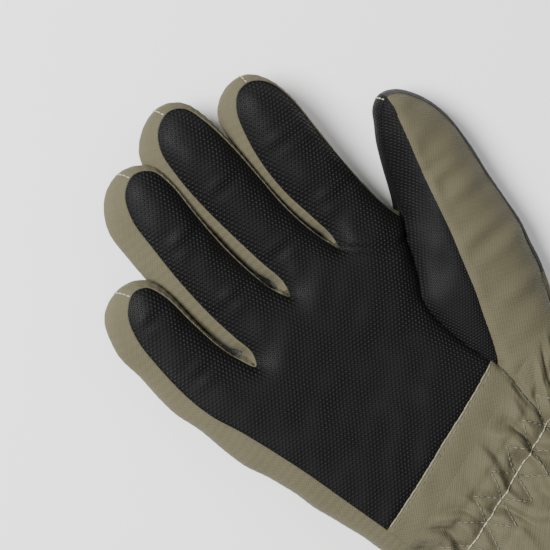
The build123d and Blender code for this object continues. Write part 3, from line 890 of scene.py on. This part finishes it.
# ---- binding, lining, insulation and elastic
def oval_tube(stations, wave, steps=120):
    """Rings of a tube inside the shell: stations are (distance beyond the palm seam, inset from the shell)."""
    angle = np.linspace(0, 2 * math.pi, steps + 1)
    rings = []
    for d, inset in stations:
        if d > SHEET_REACH:
            w = np.interp(d, STATIONS, HALF_WIDTHS)
        else:
            w = np.interp(d, [-75, -40, 0, SHEET_REACH], [30.0, 45.0, 50.0, ring_half])
        m = np.interp(d, [-75, -40, SHEET_REACH, 40], [-9.0, -11.0, ring_middle, 0.5])
        h = np.interp(d, [-75, -40, 0, *STATIONS], [10.0, 11.5, 12.0, *HALF_HEIGHTS])
        low = np.interp(d, [-75, 0, 22], [2.0, 1.6, FLOOR_GAP])
        x, z = oval(angle, max(w - inset, 1.0), max(h - inset, 0.6))
        ripple = wave * np.sin(17 * angle + 0.6 * math.sin(d / 9.0)) * math.sin(d / 6.0)
        base = palm_line(d, 0)
        rings.append(np.column_stack([
            base[0] + ACROSS[0] * (x * (1 + ripple / 60) + m), base[1] + ACROSS[1] * (x * (1 + ripple / 60) + m),
            z * (1 + ripple / 20) + h + low,
        ]))
    rings = np.array(rings)
    run = np.concatenate([[0], np.cumsum(np.linalg.norm(np.diff(rings, axis=0), axis=2).mean(1))])
    ring_run = np.concatenate([[0], np.cumsum(np.linalg.norm(np.diff(rings[0], axis=0), axis=1))])
    uv = np.column_stack([np.tile(ring_run, len(rings)), np.repeat(run, steps + 1)])
    return rings.reshape(-1, 3), len(rings), steps + 1, uv


def tube_band(name, stations, material, moves, stands_for, wave=0.0, closed=False):
    points, rows_count, column_count, uv = oval_tube(stations, wave)
    # oval_tube runs anticlockwise from the thumb side, so its rows face out when flipped
    faces = grid_faces(rows_count, column_count, closed_rows=closed, flip=True)
    add_piece(name, points, faces, uv, material, moves, stands_for)


wrap = [(BINDING_START + 0.3, -0.15), (BINDING_START, -0.9)]
wrap += [(d, -1.25 - 0.12 * math.sin((d - BINDING_START) * 1.2)) for d in np.arange(BINDING_START + 1, HEM, 1.0)]
wrap += [(HEM + 0.8, -1.0), (HEM + 1.4, 0.2), (HEM + 1.5, 1.6), (HEM + 1.2, 3.0), (HEM + 0.4, 4.0)]
wrap += [(d, 4.6) for d in np.arange(HEM - 1, BINDING_START, -1.5)] + [(BINDING_START, 4.1)]
tube_band("hem_binding", wrap, "binding", CUFF, ["hem_binding"])
LINING_INSET = 6.1
fold_end = 2 * PALM_TO_FOLD
for name, moves, node, start, end, step, tail in (
        ("cuff_inner_lining", CUFF, ["cuff_lining"], BINDING_START + 2.0, fold_end, 2.5, [(fold_end, LINING_INSET)]),
        ("wrist_inner_lining", WRIST_BEND, [], fold_end, 0, 2.0, [(0.0, LINING_INSET)]),
        ("hand_inner_lining", HAND, ["hand_lining"], 0, -66, 2.5, [(-68, 5.5), (-70, 8), (-71, 12), (-71.5, 30)])):
    rings = [(d, LINING_INSET) for d in np.arange(start, end, -step)] + tail
    tube_band(name, rings, "fleece", moves, node, wave=1.0)


def padding_tube(name, start, end, moves, stands_for, outer=1.9, inner=3.7):
    """Wadding between shell and lining, closed at both ends."""
    at = np.arange(start, end + 0.1, 2.5)
    loop_of = [(d, outer) for d in at] + [(d, inner) for d in at[::-1]]
    tube_band(name, loop_of, "wadding", moves, stands_for, closed=True, wave=0.4)


padding_tube("cuff_wadding", 2 * PALM_TO_FOLD + 8, BINDING_START - 1, CUFF, ["cuff_insulation"], 3.2, 5.0)
padding_tube("hand_wadding", -64, -1, HAND, ["hand_insulation"])
band = [(d, 4.4 + 0.2 * math.sin(d * 2.6)) for d in np.arange(WAIST - 10.5, WAIST + 10.6, 1.2)]
band += [(d, 5.2 + 0.2 * math.sin(d * 2.6)) for d in np.arange(WAIST + 10.5, WAIST - 10.6, -1.2)]
tube_band("wrist_elastic_band", band, "elastic", WRIST_BEND, ["wrist_elastic"], closed=True, wave=0.8)


# ---- quilted liners inside the digits
def sock(name, digit, start, end, closed_end, moves, stands_for):
    """A liner round a finger: outside, then back along the inside, as one closed form."""
    d = digits[digit]
    wide, tall, middle_z = (9.0, 7.0, 14.5) if digit == "thumb" else (8.4, 6.8, 12.8)
    steps = 40
    angle = np.linspace(0, 2 * math.pi, steps + 1)
    at = np.arange(start, end + 0.1, 2.0)
    path = [(t, 0.0) for t in at]
    if closed_end:
        path += [(end + 1.5, 1.6), (end + 2.8, 4.0), (end + 3.2, 7.0)]
        path += [(end + 1.4, 7.2), (end + 1.0, 5.0), (end - 0.4, 3.2)]
    path += [(t, 2.0) for t in at[::-1]]
    rings = []
    for t, inset in path:
        quilt = 0.35 * math.sin(t / 2.2) if inset == 0 else 0.0
        x, z = oval(angle, wide - inset + quilt, tall - inset + quilt, 2.3)
        foot = d["first"][:2] + d["ahead"][:2] * t
        run = np.clip((t - d["start"]) / d["length"], 0, 1)
        rise = run ** 2 * (THUMB_RISE if digit == "thumb" else FINGER_RISE)
        shift = (1.5 if digit == "thumb" else LEAN[digit] / 2) * min(1.0, max(0.0, (t - d["start"]) / 18))
        rings.append(np.column_stack([
            foot[0] + d["side"][0] * x + shift, foot[1] + d["side"][1] * x, z + middle_z + rise
        ]))
    rings = np.array(rings)
    uv = np.column_stack([np.tile(angle * wide, len(rings)), np.repeat(np.arange(len(rings)) * 2.0, steps + 1)])
    faces = grid_faces(len(rings), steps + 1, closed_rows=True)
    add_piece(name, rings.reshape(-1, 3), faces, uv, "wadding", moves, stands_for)


for name in DIGITS:
    start, split, second, second_end = ZONES[name]
    reach = digits[name]["length"] + start - 11.0
    sock(f"{name}_base_padding", name, start + 1.0, split - 1.0, False, bend(name, "base"), [f"{name}_base_liner"])
    sock(f"{name}_tip_padding", name, split + 1.0, reach, True, bend(name, "tip"), [f"{name}_tip_liner"])
sock("thumb_root_padding", "thumb", -30.0, ZONES["thumb"][0] - 1.0, False, HAND, ["thumb_root_liner"])


# ---- hang loop: webbing bent into a flat loop on the hem
def hang_loop():
    low, high = (np.array(v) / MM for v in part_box("hang_loop"))
    middle = (low + high) / 2
    rise = math.atan2(17.0, 93.0)
    run_dir = np.array([ALONG[0] * math.cos(rise), ALONG[1] * math.cos(rise), math.sin(rise)])
    up = np.array([-ALONG[0] * math.sin(rise), -ALONG[1] * math.sin(rise), math.cos(rise)])
    sideways = np.array([ACROSS[0], ACROSS[1], 0.0])
    length, height, width, thick = 41.0, 10.5, 10.0, 1.5
    radius, straight_half = height / 2 - thick / 2, length / 2 - height / 2
    path = []
    for end in (1, -1):
        for k in range(24):
            rise_here = radius + 0.35 * math.sin(k / 24 * math.pi) if end == 1 else radius
            path.append((end * straight_half * (1 - 2 * k / 24), end * rise_here))
        for k in range(14):
            a = end * math.pi / 2 + math.pi * k / 14
            path.append((-end * straight_half + radius * math.cos(a), radius * math.sin(a)))
    path = np.array(path)
    ahead_2d = np.roll(path, -1, axis=0) - np.roll(path, 1, axis=0)
    ahead_2d /= np.linalg.norm(ahead_2d, axis=1)[:, None]
    out_2d = np.column_stack([ahead_2d[:, 1], -ahead_2d[:, 0]]) * -1
    section = [(-0.5, 0.35), (-0.47, 0.5), (-0.25, 0.5), (0, 0.53), (0.25, 0.5), (0.47, 0.5), (0.5, 0.35),
               (0.5, -0.35), (0.47, -0.5), (0.25, -0.5), (0, -0.5), (-0.25, -0.5), (-0.47, -0.5), (-0.5, -0.35)]
    points, uv = [], []
    run = 0.0
    for k in range(len(path) + 1):
        p, o = path[k % len(path)], out_2d[k % len(path)]
        for w, t in section + section[:1]:
            q = p + o * t * thick
            points.append(middle + run_dir * q[0] + up * (q[1] - 0.4) + sideways * w * width)
            uv.append((w * width + t * thick, run))
        run += float(np.linalg.norm(path[(k + 1) % len(path)] - p))
    faces = grid_faces(len(path) + 1, len(section) + 1)
    add_piece("hem_loop", points, faces, uv, "binding", CUFF, ["hang_loop"])


hang_loop()


# ---- stitching
front_tree = BVHTree.FromPolygons([tuple(p) for p in front], [tuple(int(i) for i in t) for t in triangles])


def on_front(points, default=20.0):
    """Places and directions of points in plan on the front sheet."""
    places, normals = [], []
    for x, y in np.asarray(points)[:, :2]:
        hit, normal, _, _ = front_tree.ray_cast(Vector((x, y, 80.0)), Vector((0, 0, -1)))
        places.append(tuple(hit) if hit else (x, y, default))
        normals.append(tuple(normal) if hit else (0, 0, 1))
    return np.array(places), np.array(normals)


# along one stitch: share of its length, share of its radius, height over the cloth
STITCH_SHAPE = [(0, 0.45, -0.28), (0.15, 0.9, 0.0), (0.5, 1.0, 0.12), (0.85, 0.9, 0.0), (1, 0.45, -0.28)]


def thread(points, normals, length=2.5, gap=0.7, radius=0.28, lift=0.12, seed=0):
    """Stitches along a line on a surface, as short rounded threads that dip into the cloth at their ends."""
    run = np.concatenate([[0], np.cumsum(np.linalg.norm(np.diff(points, axis=0), axis=1))])
    r = np.random.default_rng(seed)
    verts, faces = [], []
    at = gap / 2
    while at + length < run[-1]:
        here = length * r.uniform(0.92, 1.06)
        base = len(verts)
        places = []
        for share, size, dip in STITCH_SHAPE:
            s = at + here * share
            p = np.array([np.interp(s, run, points[:, k]) for k in range(3)])
            n = np.array([np.interp(s, run, normals[:, k]) for k in range(3)])
            places.append((p, n / max(np.linalg.norm(n), 1e-9), size, dip))
        direction = places[-1][0] - places[0][0]
        direction /= max(np.linalg.norm(direction), 1e-9)
        jitter = r.normal(0, 0.05)
        for p, n, size, dip in places:
            side = np.cross(direction, n)
            for k in range(6):
                a = 2 * math.pi * k / 6
                rim = (side * math.cos(a) + n * 0.8 * math.sin(a)) * radius * size
                verts.append(p + n * (lift + dip) + side * jitter + rim)
        for ring_at in range(4):
            for k in range(6):
                a0, a1 = base + ring_at * 6 + k, base + ring_at * 6 + (k + 1) % 6
                faces.append((a0, a0 + 6, a1 + 6, a1))
        faces.append(tuple(base + k for k in range(6)))
        faces.append(tuple(base + 24 + k for k in range(5, -1, -1)))
        at += here + gap
    return verts, faces


def stitched(name, material, moves, lines, slot=None):
    """Several stitched lines in one piece; each line is its points, their directions and how it is stitched."""
    verts, faces = [], []
    for points, normals, options in lines:
        line_verts, line_faces = thread(np.asarray(points), np.asarray(normals), **options)
        faces += [tuple(i + len(verts) for i in f) for f in line_faces]
        verts += line_verts
    add_piece(name, verts, faces, np.array(verts)[:, :2], material, moves, slot=slot)


steps = np.linspace(0, total_run, 700)
stitched("elastic_centre_stitching", "thread_light", WRIST_BEND, [
    (*tube_point(np.full(len(steps), WAIST), steps), dict(length=3.0, gap=0.15, radius=0.34, lift=0.35, seed=5))
])
legs = []
for start, corners in enumerate(zigzags):
    for k in range(2, len(corners) - 3):
        share = np.linspace(0, 1, 36)[:, None]
        leg = corners[k] + (corners[k + 1] - corners[k]) * share
        options = dict(length=2.3, gap=0.45, radius=0.36, lift=0.34, seed=100 + 50 * start + k)
        legs.append((*tube_point(leg[:, 0], leg[:, 1]), options))
stitched("elastic_stitching", "thread", WRIST_BEND, legs)

p, n = tube_point(np.full(len(steps), BINDING_START + 1.6), steps)
stitched("hem_stitching", "thread_dark", CUFF, [(p + n * 1.3, n, dict(length=2.6, gap=0.8, radius=0.26, seed=7))])
stitched("palm_seam_stitching", "thread", WRIST_BEND, [
    (*on_front((palm_seam + ALONG * 1.5)[1:-1]), dict(length=2.4, gap=0.7, radius=0.24, seed=8)),
    (*on_front((side_seam + ACROSS * -1.4)[1:-1]), dict(length=2.4, gap=0.7, radius=0.22, seed=9)),
])
# a raised strip along the palm seam in a lighter olive: painted highlight on the seam's turned edge
stitched("palm_seam_highlight_edge", "edge", WRIST_BEND, [
    (*on_front((palm_seam + ALONG * 0.3)[1:]), dict(length=5.0, gap=-0.25, radius=0.42, lift=0.12, seed=10))
])
# painted shade: a black line laid without gaps along the side seam and on down the cuff stands for the shade in the
# seam's groove
tube_leg = np.arange(SHEET_REACH + 1.0, 34.0, 1.0)
legs = on_front(side_seam[1:-1]), tube_point(tube_leg, np.full(len(tube_leg), side_run))
p, n = (np.vstack(part) for part in zip(*legs))
stitched("side_seam_painted_shade", "thread_dark", WRIST_BEND, [
    (p, n, dict(length=5.0, gap=-0.3, radius=0.3, lift=0.1, seed=11))
], SHELL)

# the seams that join the side wall over each fingertip
TIP_SEAMS = {
    "index": (47.4, 120.6), "middle": (14.0, 134.8), "ring": (-13.1, 126.3), "little": (-46.8, 94.9),
    "thumb": (84.0, 75.0),
}
for name, place in TIP_SEAMS.items():
    i = loop_index(place)
    seam = wall[1:9, i]
    out = np.tile([outward[i, 0], outward[i, 1], 0.35], (len(seam), 1))
    out /= np.linalg.norm(out[0])
    stitched(f"{name}_tip_seam_stitching", "thread_light", bend(name, "tip"), [
        (seam, out, dict(length=1.5, gap=0.5, radius=0.3, lift=0.12, seed=20))
    ])


# ---- materials
class Nodes:
    """A material's node tree, with short ways to add nodes to it."""

    def __init__(self, name):
        self.material = bpy.data.materials.new(name)
        self.material.use_nodes = True
        self.tree = self.material.node_tree
        self.shader = self.tree.nodes["Principled BSDF"]
        uv = self.tree.nodes.new("ShaderNodeUVMap")
        uv.uv_map = "UVMap"
        self.uv = uv.outputs["UV"]

    def link(self, a, b):
        self.tree.links.new(a, b)

    def put(self, socket, value):
        if isinstance(value, bpy.types.NodeSocket):
            self.link(value, socket)
        else:
            socket.default_value = value

    def math(self, operation, *values):
        node = self.tree.nodes.new("ShaderNodeMath")
        node.operation = operation
        for k, value in enumerate(values):
            self.put(node.inputs[k], value)
        return node.outputs[0]

    def wave(self, direction, period, phase=0.0, vector=None):
        """Cosine along a direction of the cloth, with the given period in metres."""
        node = self.tree.nodes.new("ShaderNodeVectorMath")
        node.operation = "DOT_PRODUCT"
        self.link(vector or self.uv, node.inputs[0])
        k = 2 * math.pi / period
        node.inputs[1].default_value = (math.cos(direction) * k, math.sin(direction) * k, 0)
        return self.math("COSINE", self.math("ADD", node.outputs["Value"], phase))

    def noise(self, scale, detail=2.0, roughness=0.5, vector=None, stretch=None):
        source = vector or self.uv
        if stretch:
            node = self.tree.nodes.new("ShaderNodeMapping")
            node.inputs["Scale"].default_value = stretch
            self.link(source, node.inputs["Vector"])
            source = node.outputs[0]
        node = self.tree.nodes.new("ShaderNodeTexNoise")
        node.inputs["Scale"].default_value = scale
        node.inputs["Detail"].default_value = detail
        node.inputs["Roughness"].default_value = roughness
        self.link(source, node.inputs["Vector"])
        return node.outputs["Fac"]

    def range(self, value, low, high, to_low=0.0, to_high=1.0):
        node = self.tree.nodes.new("ShaderNodeMapRange")
        self.put(node.inputs["Value"], value)
        for key, number in (("From Min", low), ("From Max", high), ("To Min", to_low), ("To Max", to_high)):
            node.inputs[key].default_value = number
        return node.outputs[0]

    def mix(self, share, first, second):
        node = self.tree.nodes.new("ShaderNodeMix")
        node.data_type = "RGBA"
        self.put(node.inputs[0], share)
        for socket, value in ((node.inputs[6], first), (node.inputs[7], second)):
            self.put(socket, value if isinstance(value, bpy.types.NodeSocket) else (*value, 1.0))
        return node.outputs[2]

    def bump(self, height, distance, strength=1.0, under=None):
        node = self.tree.nodes.new("ShaderNodeBump")
        node.inputs["Strength"].default_value = strength
        node.inputs["Distance"].default_value = distance
        self.link(height, node.inputs["Height"])
        if under is not None:
            self.link(under, node.inputs["Normal"])
        return node.outputs["Normal"]

    def warp(self, amount, scale):
        """The cloth's coordinates, drawn slightly out of line as woven cloth is."""
        node = self.tree.nodes.new("ShaderNodeTexNoise")
        node.inputs["Scale"].default_value = scale
        self.link(self.uv, node.inputs["Vector"])
        shift = self.tree.nodes.new("ShaderNodeVectorMath")
        shift.operation = "SUBTRACT"
        self.link(node.outputs["Color"], shift.inputs[0])
        shift.inputs[1].default_value = (0.5, 0.5, 0.5)
        size = self.tree.nodes.new("ShaderNodeVectorMath")
        size.operation = "SCALE"
        self.link(shift.outputs[0], size.inputs[0])
        size.inputs["Scale"].default_value = amount
        total = self.tree.nodes.new("ShaderNodeVectorMath")
        total.operation = "ADD"
        self.link(self.uv, total.inputs[0])
        self.link(size.outputs[0], total.inputs[1])
        return total.outputs[0]

    def finish(self, color, roughness, normal, **constants):
        self.put(self.shader.inputs["Base Color"], color)
        self.put(self.shader.inputs["Roughness"], roughness)
        if normal is not None:
            self.link(normal, self.shader.inputs["Normal"])
        for key, value in constants.items():
            self.shader.inputs[key.replace("_", " ")].default_value = value
        return self.material


def grip_material(name, spacing, height, dark, light):
    """Black fabric with a close lattice of small raised dots, whose colour carries a painted highlight on each dot."""
    m = Nodes(name)
    at = m.warp(0.0008, 60)
    total = m.wave(math.radians(20), spacing * 0.866, 0, at)
    for angle in (80, 140):
        total = m.math("ADD", total, m.wave(math.radians(angle), spacing * 0.866, 0, at))
    dots = m.range(total, -0.4, 2.4)
    soft = m.noise(90, 3)
    # painted highlight: the raised dots are coloured lighter than the cloth between them
    color = m.mix(m.range(dots, 0.15, 0.9), dark, light)
    color = m.mix(m.range(soft, 0.3, 0.75, 0.0, 0.35), color, tuple(c * 1.6 for c in dark))
    rough = m.range(dots, 0.0, 1.0, 0.62, 0.46)
    fine = m.bump(m.noise(2600, 2), 0.00008, 0.5)
    return m.finish(color, rough, m.bump(dots, height, 1.0, fine), Specular_IOR_Level=0.17)


def olive_material(name, base, light, dark):
    """Fine plain-weave cloth, slightly uneven in colour, with a painted highlight that makes the high spots of its
    weave lighter.
    """
    m = Nodes(name)
    at = m.warp(0.0005, 45)
    over = m.math("MULTIPLY", m.wave(0.0, 0.0011, 0, at), m.wave(math.pi / 2, 0.0009, 0, at))
    weave = m.range(over, -1, 1)
    ribs = m.range(m.wave(math.radians(62), 0.0021, 0, at), -1, 1)
    threads = m.noise(900, 2, 0.6, None, (1.0, 3.5, 1.0))
    cloud = m.noise(38, 4, 0.55)
    # painted highlight: the high spots of the weave are coloured lighter, where the bump already raises them
    color = m.mix(m.range(weave, 0.15, 0.95, 0.0, 0.55), base, light)
    color = m.mix(m.range(threads, 0.4, 0.7, 0.0, 0.3), color, dark)
    color = m.mix(m.range(cloud, 0.35, 0.7, 0.0, 0.22), color, dark)
    height = m.math("ADD", weave, m.math("MULTIPLY", ribs, 0.25))
    large = m.bump(cloud, 0.0006, 0.35)
    return m.finish(color, m.range(weave, 0, 1, 0.78, 0.66), m.bump(height, 0.00016, 0.9, large),
                    Specular_IOR_Level=0.18, Sheen_Weight=0.05, Sheen_Roughness=0.45)


def brushed_material(name, dark, light, scale=500, depth=0.0002, sheen=0.4):
    """Soft cloth with a short raised nap."""
    m = Nodes(name)
    nap = m.noise(scale, 4, 0.65)
    cloud = m.noise(60, 3)
    color = m.mix(m.range(nap, 0.3, 0.7), dark, light)
    color = m.mix(m.range(cloud, 0.35, 0.7, 0, 0.3), color, dark)
    return m.finish(color, m.range(nap, 0, 1, 0.95, 0.75), m.bump(nap, depth, 0.9), Specular_IOR_Level=0.25,
                    Sheen_Weight=sheen, Sheen_Roughness=0.6)


def ribbed_material(name, dark, light, period, direction=0.0, roughness=0.6):
    """Woven tape or knitted elastic with narrow ribs."""
    m = Nodes(name)
    ribs = m.range(m.wave(direction, period), -1, 1)
    across_ribs = m.range(m.wave(direction + math.pi / 2, period * 0.8), -1, 1)
    both = m.math("ADD", ribs, m.math("MULTIPLY", across_ribs, 0.45))
    worn = m.noise(300, 3)
    color = m.mix(m.range(both, 0.2, 1.3), dark, light)
    color = m.mix(m.range(worn, 0.4, 0.7, 0, 0.3), color, light)
    return m.finish(color, m.range(worn, 0, 1, roughness, roughness + 0.2), m.bump(both, 0.0002, 0.9),
                    Specular_IOR_Level=0.35, Sheen_Weight=0.1)


def thread_material(name, dark, light):
    """Twisted sewing thread."""
    m = Nodes(name)
    twist = m.range(m.wave(math.radians(35), 0.0005), -1, 1)
    worn = m.noise(220, 2)
    color = m.mix(m.math("MULTIPLY", twist, m.range(worn, 0.2, 0.8)), dark, light)
    return m.finish(color, m.range(worn, 0, 1, 0.5, 0.7), m.bump(twist, 0.0001, 0.6), Specular_IOR_Level=0.4)


MATERIALS = {
    # the second colour of each grip is the painted highlight on its dots
    "grip": grip_material("black_dotted_grip", 0.0017, 0.00042, (0.0017, 0.0017, 0.0019), (0.0085, 0.0085, 0.0092)),
    "grip_fine": grip_material("black_dotted_grip_fine", 0.0013, 0.00026, (0.0019, 0.0019, 0.0021),
                               (0.0075, 0.0075, 0.0082)),
    "olive": olive_material("olive_woven_shell", (0.080, 0.0725, 0.0425), (0.120, 0.110, 0.068),
                            (0.048, 0.0435, 0.025)),
    "soft": brushed_material("black_brushed_panel", (0.004, 0.004, 0.0044), (0.014, 0.014, 0.015), 700, 0.00015, 0.08),
    "fleece": brushed_material("charcoal_fleece", (0.014, 0.014, 0.015), (0.05, 0.05, 0.052), 420, 0.0006, 0.6),
    "wadding": brushed_material("pale_wadding", (0.5, 0.49, 0.46), (0.72, 0.71, 0.68), 260, 0.0008, 0.5),
    "elastic": ribbed_material("knitted_elastic", (0.55, 0.55, 0.53), (0.8, 0.8, 0.78), 0.0016, math.pi / 2),
    "binding": ribbed_material("black_ribbed_tape", (0.008, 0.008, 0.009), (0.03, 0.03, 0.032), 0.0013, math.pi / 2),
    "thread": thread_material("olive_thread", (0.045, 0.045, 0.030), (0.26, 0.25, 0.19)),
    "thread_light": thread_material("pale_olive_thread", (0.28, 0.26, 0.19), (0.5, 0.47, 0.38)),
    # a lighter copy of the shell cloth, for the painted highlight along the palm seam's edge
    "edge": olive_material("olive_edge_painted_highlight", (0.16, 0.15, 0.10), (0.26, 0.24, 0.17), (0.10, 0.09, 0.06)),
    "thread_dark": thread_material("black_thread", (0.008, 0.008, 0.008), (0.035, 0.035, 0.036)),
}


# ---- meshes from the pieces, with shared shading normals
def face_normals(points, faces):
    """Area-weighted normal of each face."""
    out = np.zeros((len(faces), 3))
    for k, f in enumerate(faces):
        a = points[list(f)]
        out[k] = np.cross(a[1] - a[0], a[2] - a[0]) if len(f) == 3 else np.cross(a[2] - a[0], a[3] - a[1])
    return out / 2


shared = {}
corner_normals = []
for p in pieces:
    normals = face_normals(p.points, p.faces)
    at = np.zeros_like(p.points)
    for f, n in zip(p.faces, normals):
        for i in f:
            at[i] += n
    keys = [(p.smooth_with, *k) for k in np.round(p.points / 0.03).astype(int).tolist()]
    for k, n in zip(keys, at):
        shared[k] = shared.get(k, 0) + n
    corner_normals.append(keys)

objects = {}
for p, keys in zip(pieces, corner_normals):
    mesh = bpy.data.meshes.new(p.name)
    mesh.from_pydata((p.points * MM).tolist(), [], p.faces)
    mesh.materials.append(MATERIALS[p.material])
    for polygon in mesh.polygons:
        polygon.use_smooth = True
    layer = mesh.uv_layers.new(name="UVMap")
    vertex_of = np.zeros(len(mesh.loops), int)
    mesh.loops.foreach_get("vertex_index", vertex_of)
    layer.data.foreach_set("uv", (p.uv[vertex_of] * MM).astype(np.float32).ravel())
    vectors = np.array([shared[k] for k in keys])
    vectors /= np.maximum(np.linalg.norm(vectors, axis=1), 1e-12)[:, None]
    mesh.normals_split_custom_set_from_vertices(vectors.tolist())
    made_object = bpy.data.objects.new(p.name, mesh)
    bpy.context.scene.collection.objects.link(made_object)
    objects[p.name] = made_object
    if p.moves[0] == "ride":
        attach(made_object, p.moves[1])
    else:
        _, first_body, second_body, start, end = p.moves
        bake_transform(made_object)
    if p.stands_for:
        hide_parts(*p.stands_for)

# ---- floor, light and camera
def plain_material(name, color, roughness):
    m = Nodes(name)
    cloud = m.noise(3, 2)
    return m.finish(m.mix(m.range(cloud, 0.3, 0.7, 0, 0.1), color, tuple(c * 0.98 for c in color)), roughness, None)


floor_mesh = bpy.data.meshes.new("studio_floor")
floor_mesh.from_pydata([(-6, -6, -0.001), (6, -6, -0.001), (6, 6, -0.001), (-6, 6, -0.001)], [], [(0, 1, 2, 3)])
floor_mesh.uv_layers.new(name="UVMap")
floor_mesh.materials.append(plain_material("pale_floor", (0.93, 0.93, 0.93), 0.9))
floor = bpy.data.objects.new("studio_floor", floor_mesh)
bpy.context.scene.collection.objects.link(floor)
floor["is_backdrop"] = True

world = bpy.data.worlds.new("studio")
world.use_nodes = True
world.node_tree.nodes["Background"].inputs["Color"].default_value = (1, 1, 1, 1)
world.node_tree.nodes["Background"].inputs["Strength"].default_value = 0.47
bpy.context.scene.world = world


def area_light(name, position, target, size, power):
    light = bpy.data.lights.new(name, "AREA")
    light.shape = "DISK"
    light.size = size
    light.energy = power
    item = bpy.data.objects.new(name, light)
    item.location = position
    item.rotation_euler = (Vector(target) - Vector(position)).to_track_quat("-Z", "Y").to_euler()
    bpy.context.scene.collection.objects.link(item)


AIM = Vector((0.0022, 0.0573, 0.020))
area_light("key_light", (-0.62, 0.78, 1.15), AIM, 0.7, 58)
area_light("fill_light", (0.9, -0.3, 1.2), AIM, 1.0, 3)

TILT = math.radians(13)
HALF_TURN = math.sqrt(0.5)
right = Vector((HALF_TURN * math.cos(TILT), -HALF_TURN * math.cos(TILT), math.sin(TILT)))
upward = Vector((HALF_TURN, HALF_TURN, 0))
towards = Vector((-math.sin(TILT) * HALF_TURN, math.sin(TILT) * HALF_TURN, math.cos(TILT)))
camera_data = bpy.data.cameras.new("camera")
camera_data.lens = 150
camera_data.sensor_width = 36
camera_data.clip_start, camera_data.clip_end = 0.05, 20
camera = bpy.data.objects.new("camera", camera_data)
bpy.context.scene.collection.objects.link(camera)
camera.matrix_world = Matrix((right, upward, towards)).transposed().to_4x4()
camera.location = AIM + towards * (0.220 / 36 * 150)
bpy.context.scene.camera = camera

low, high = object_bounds()
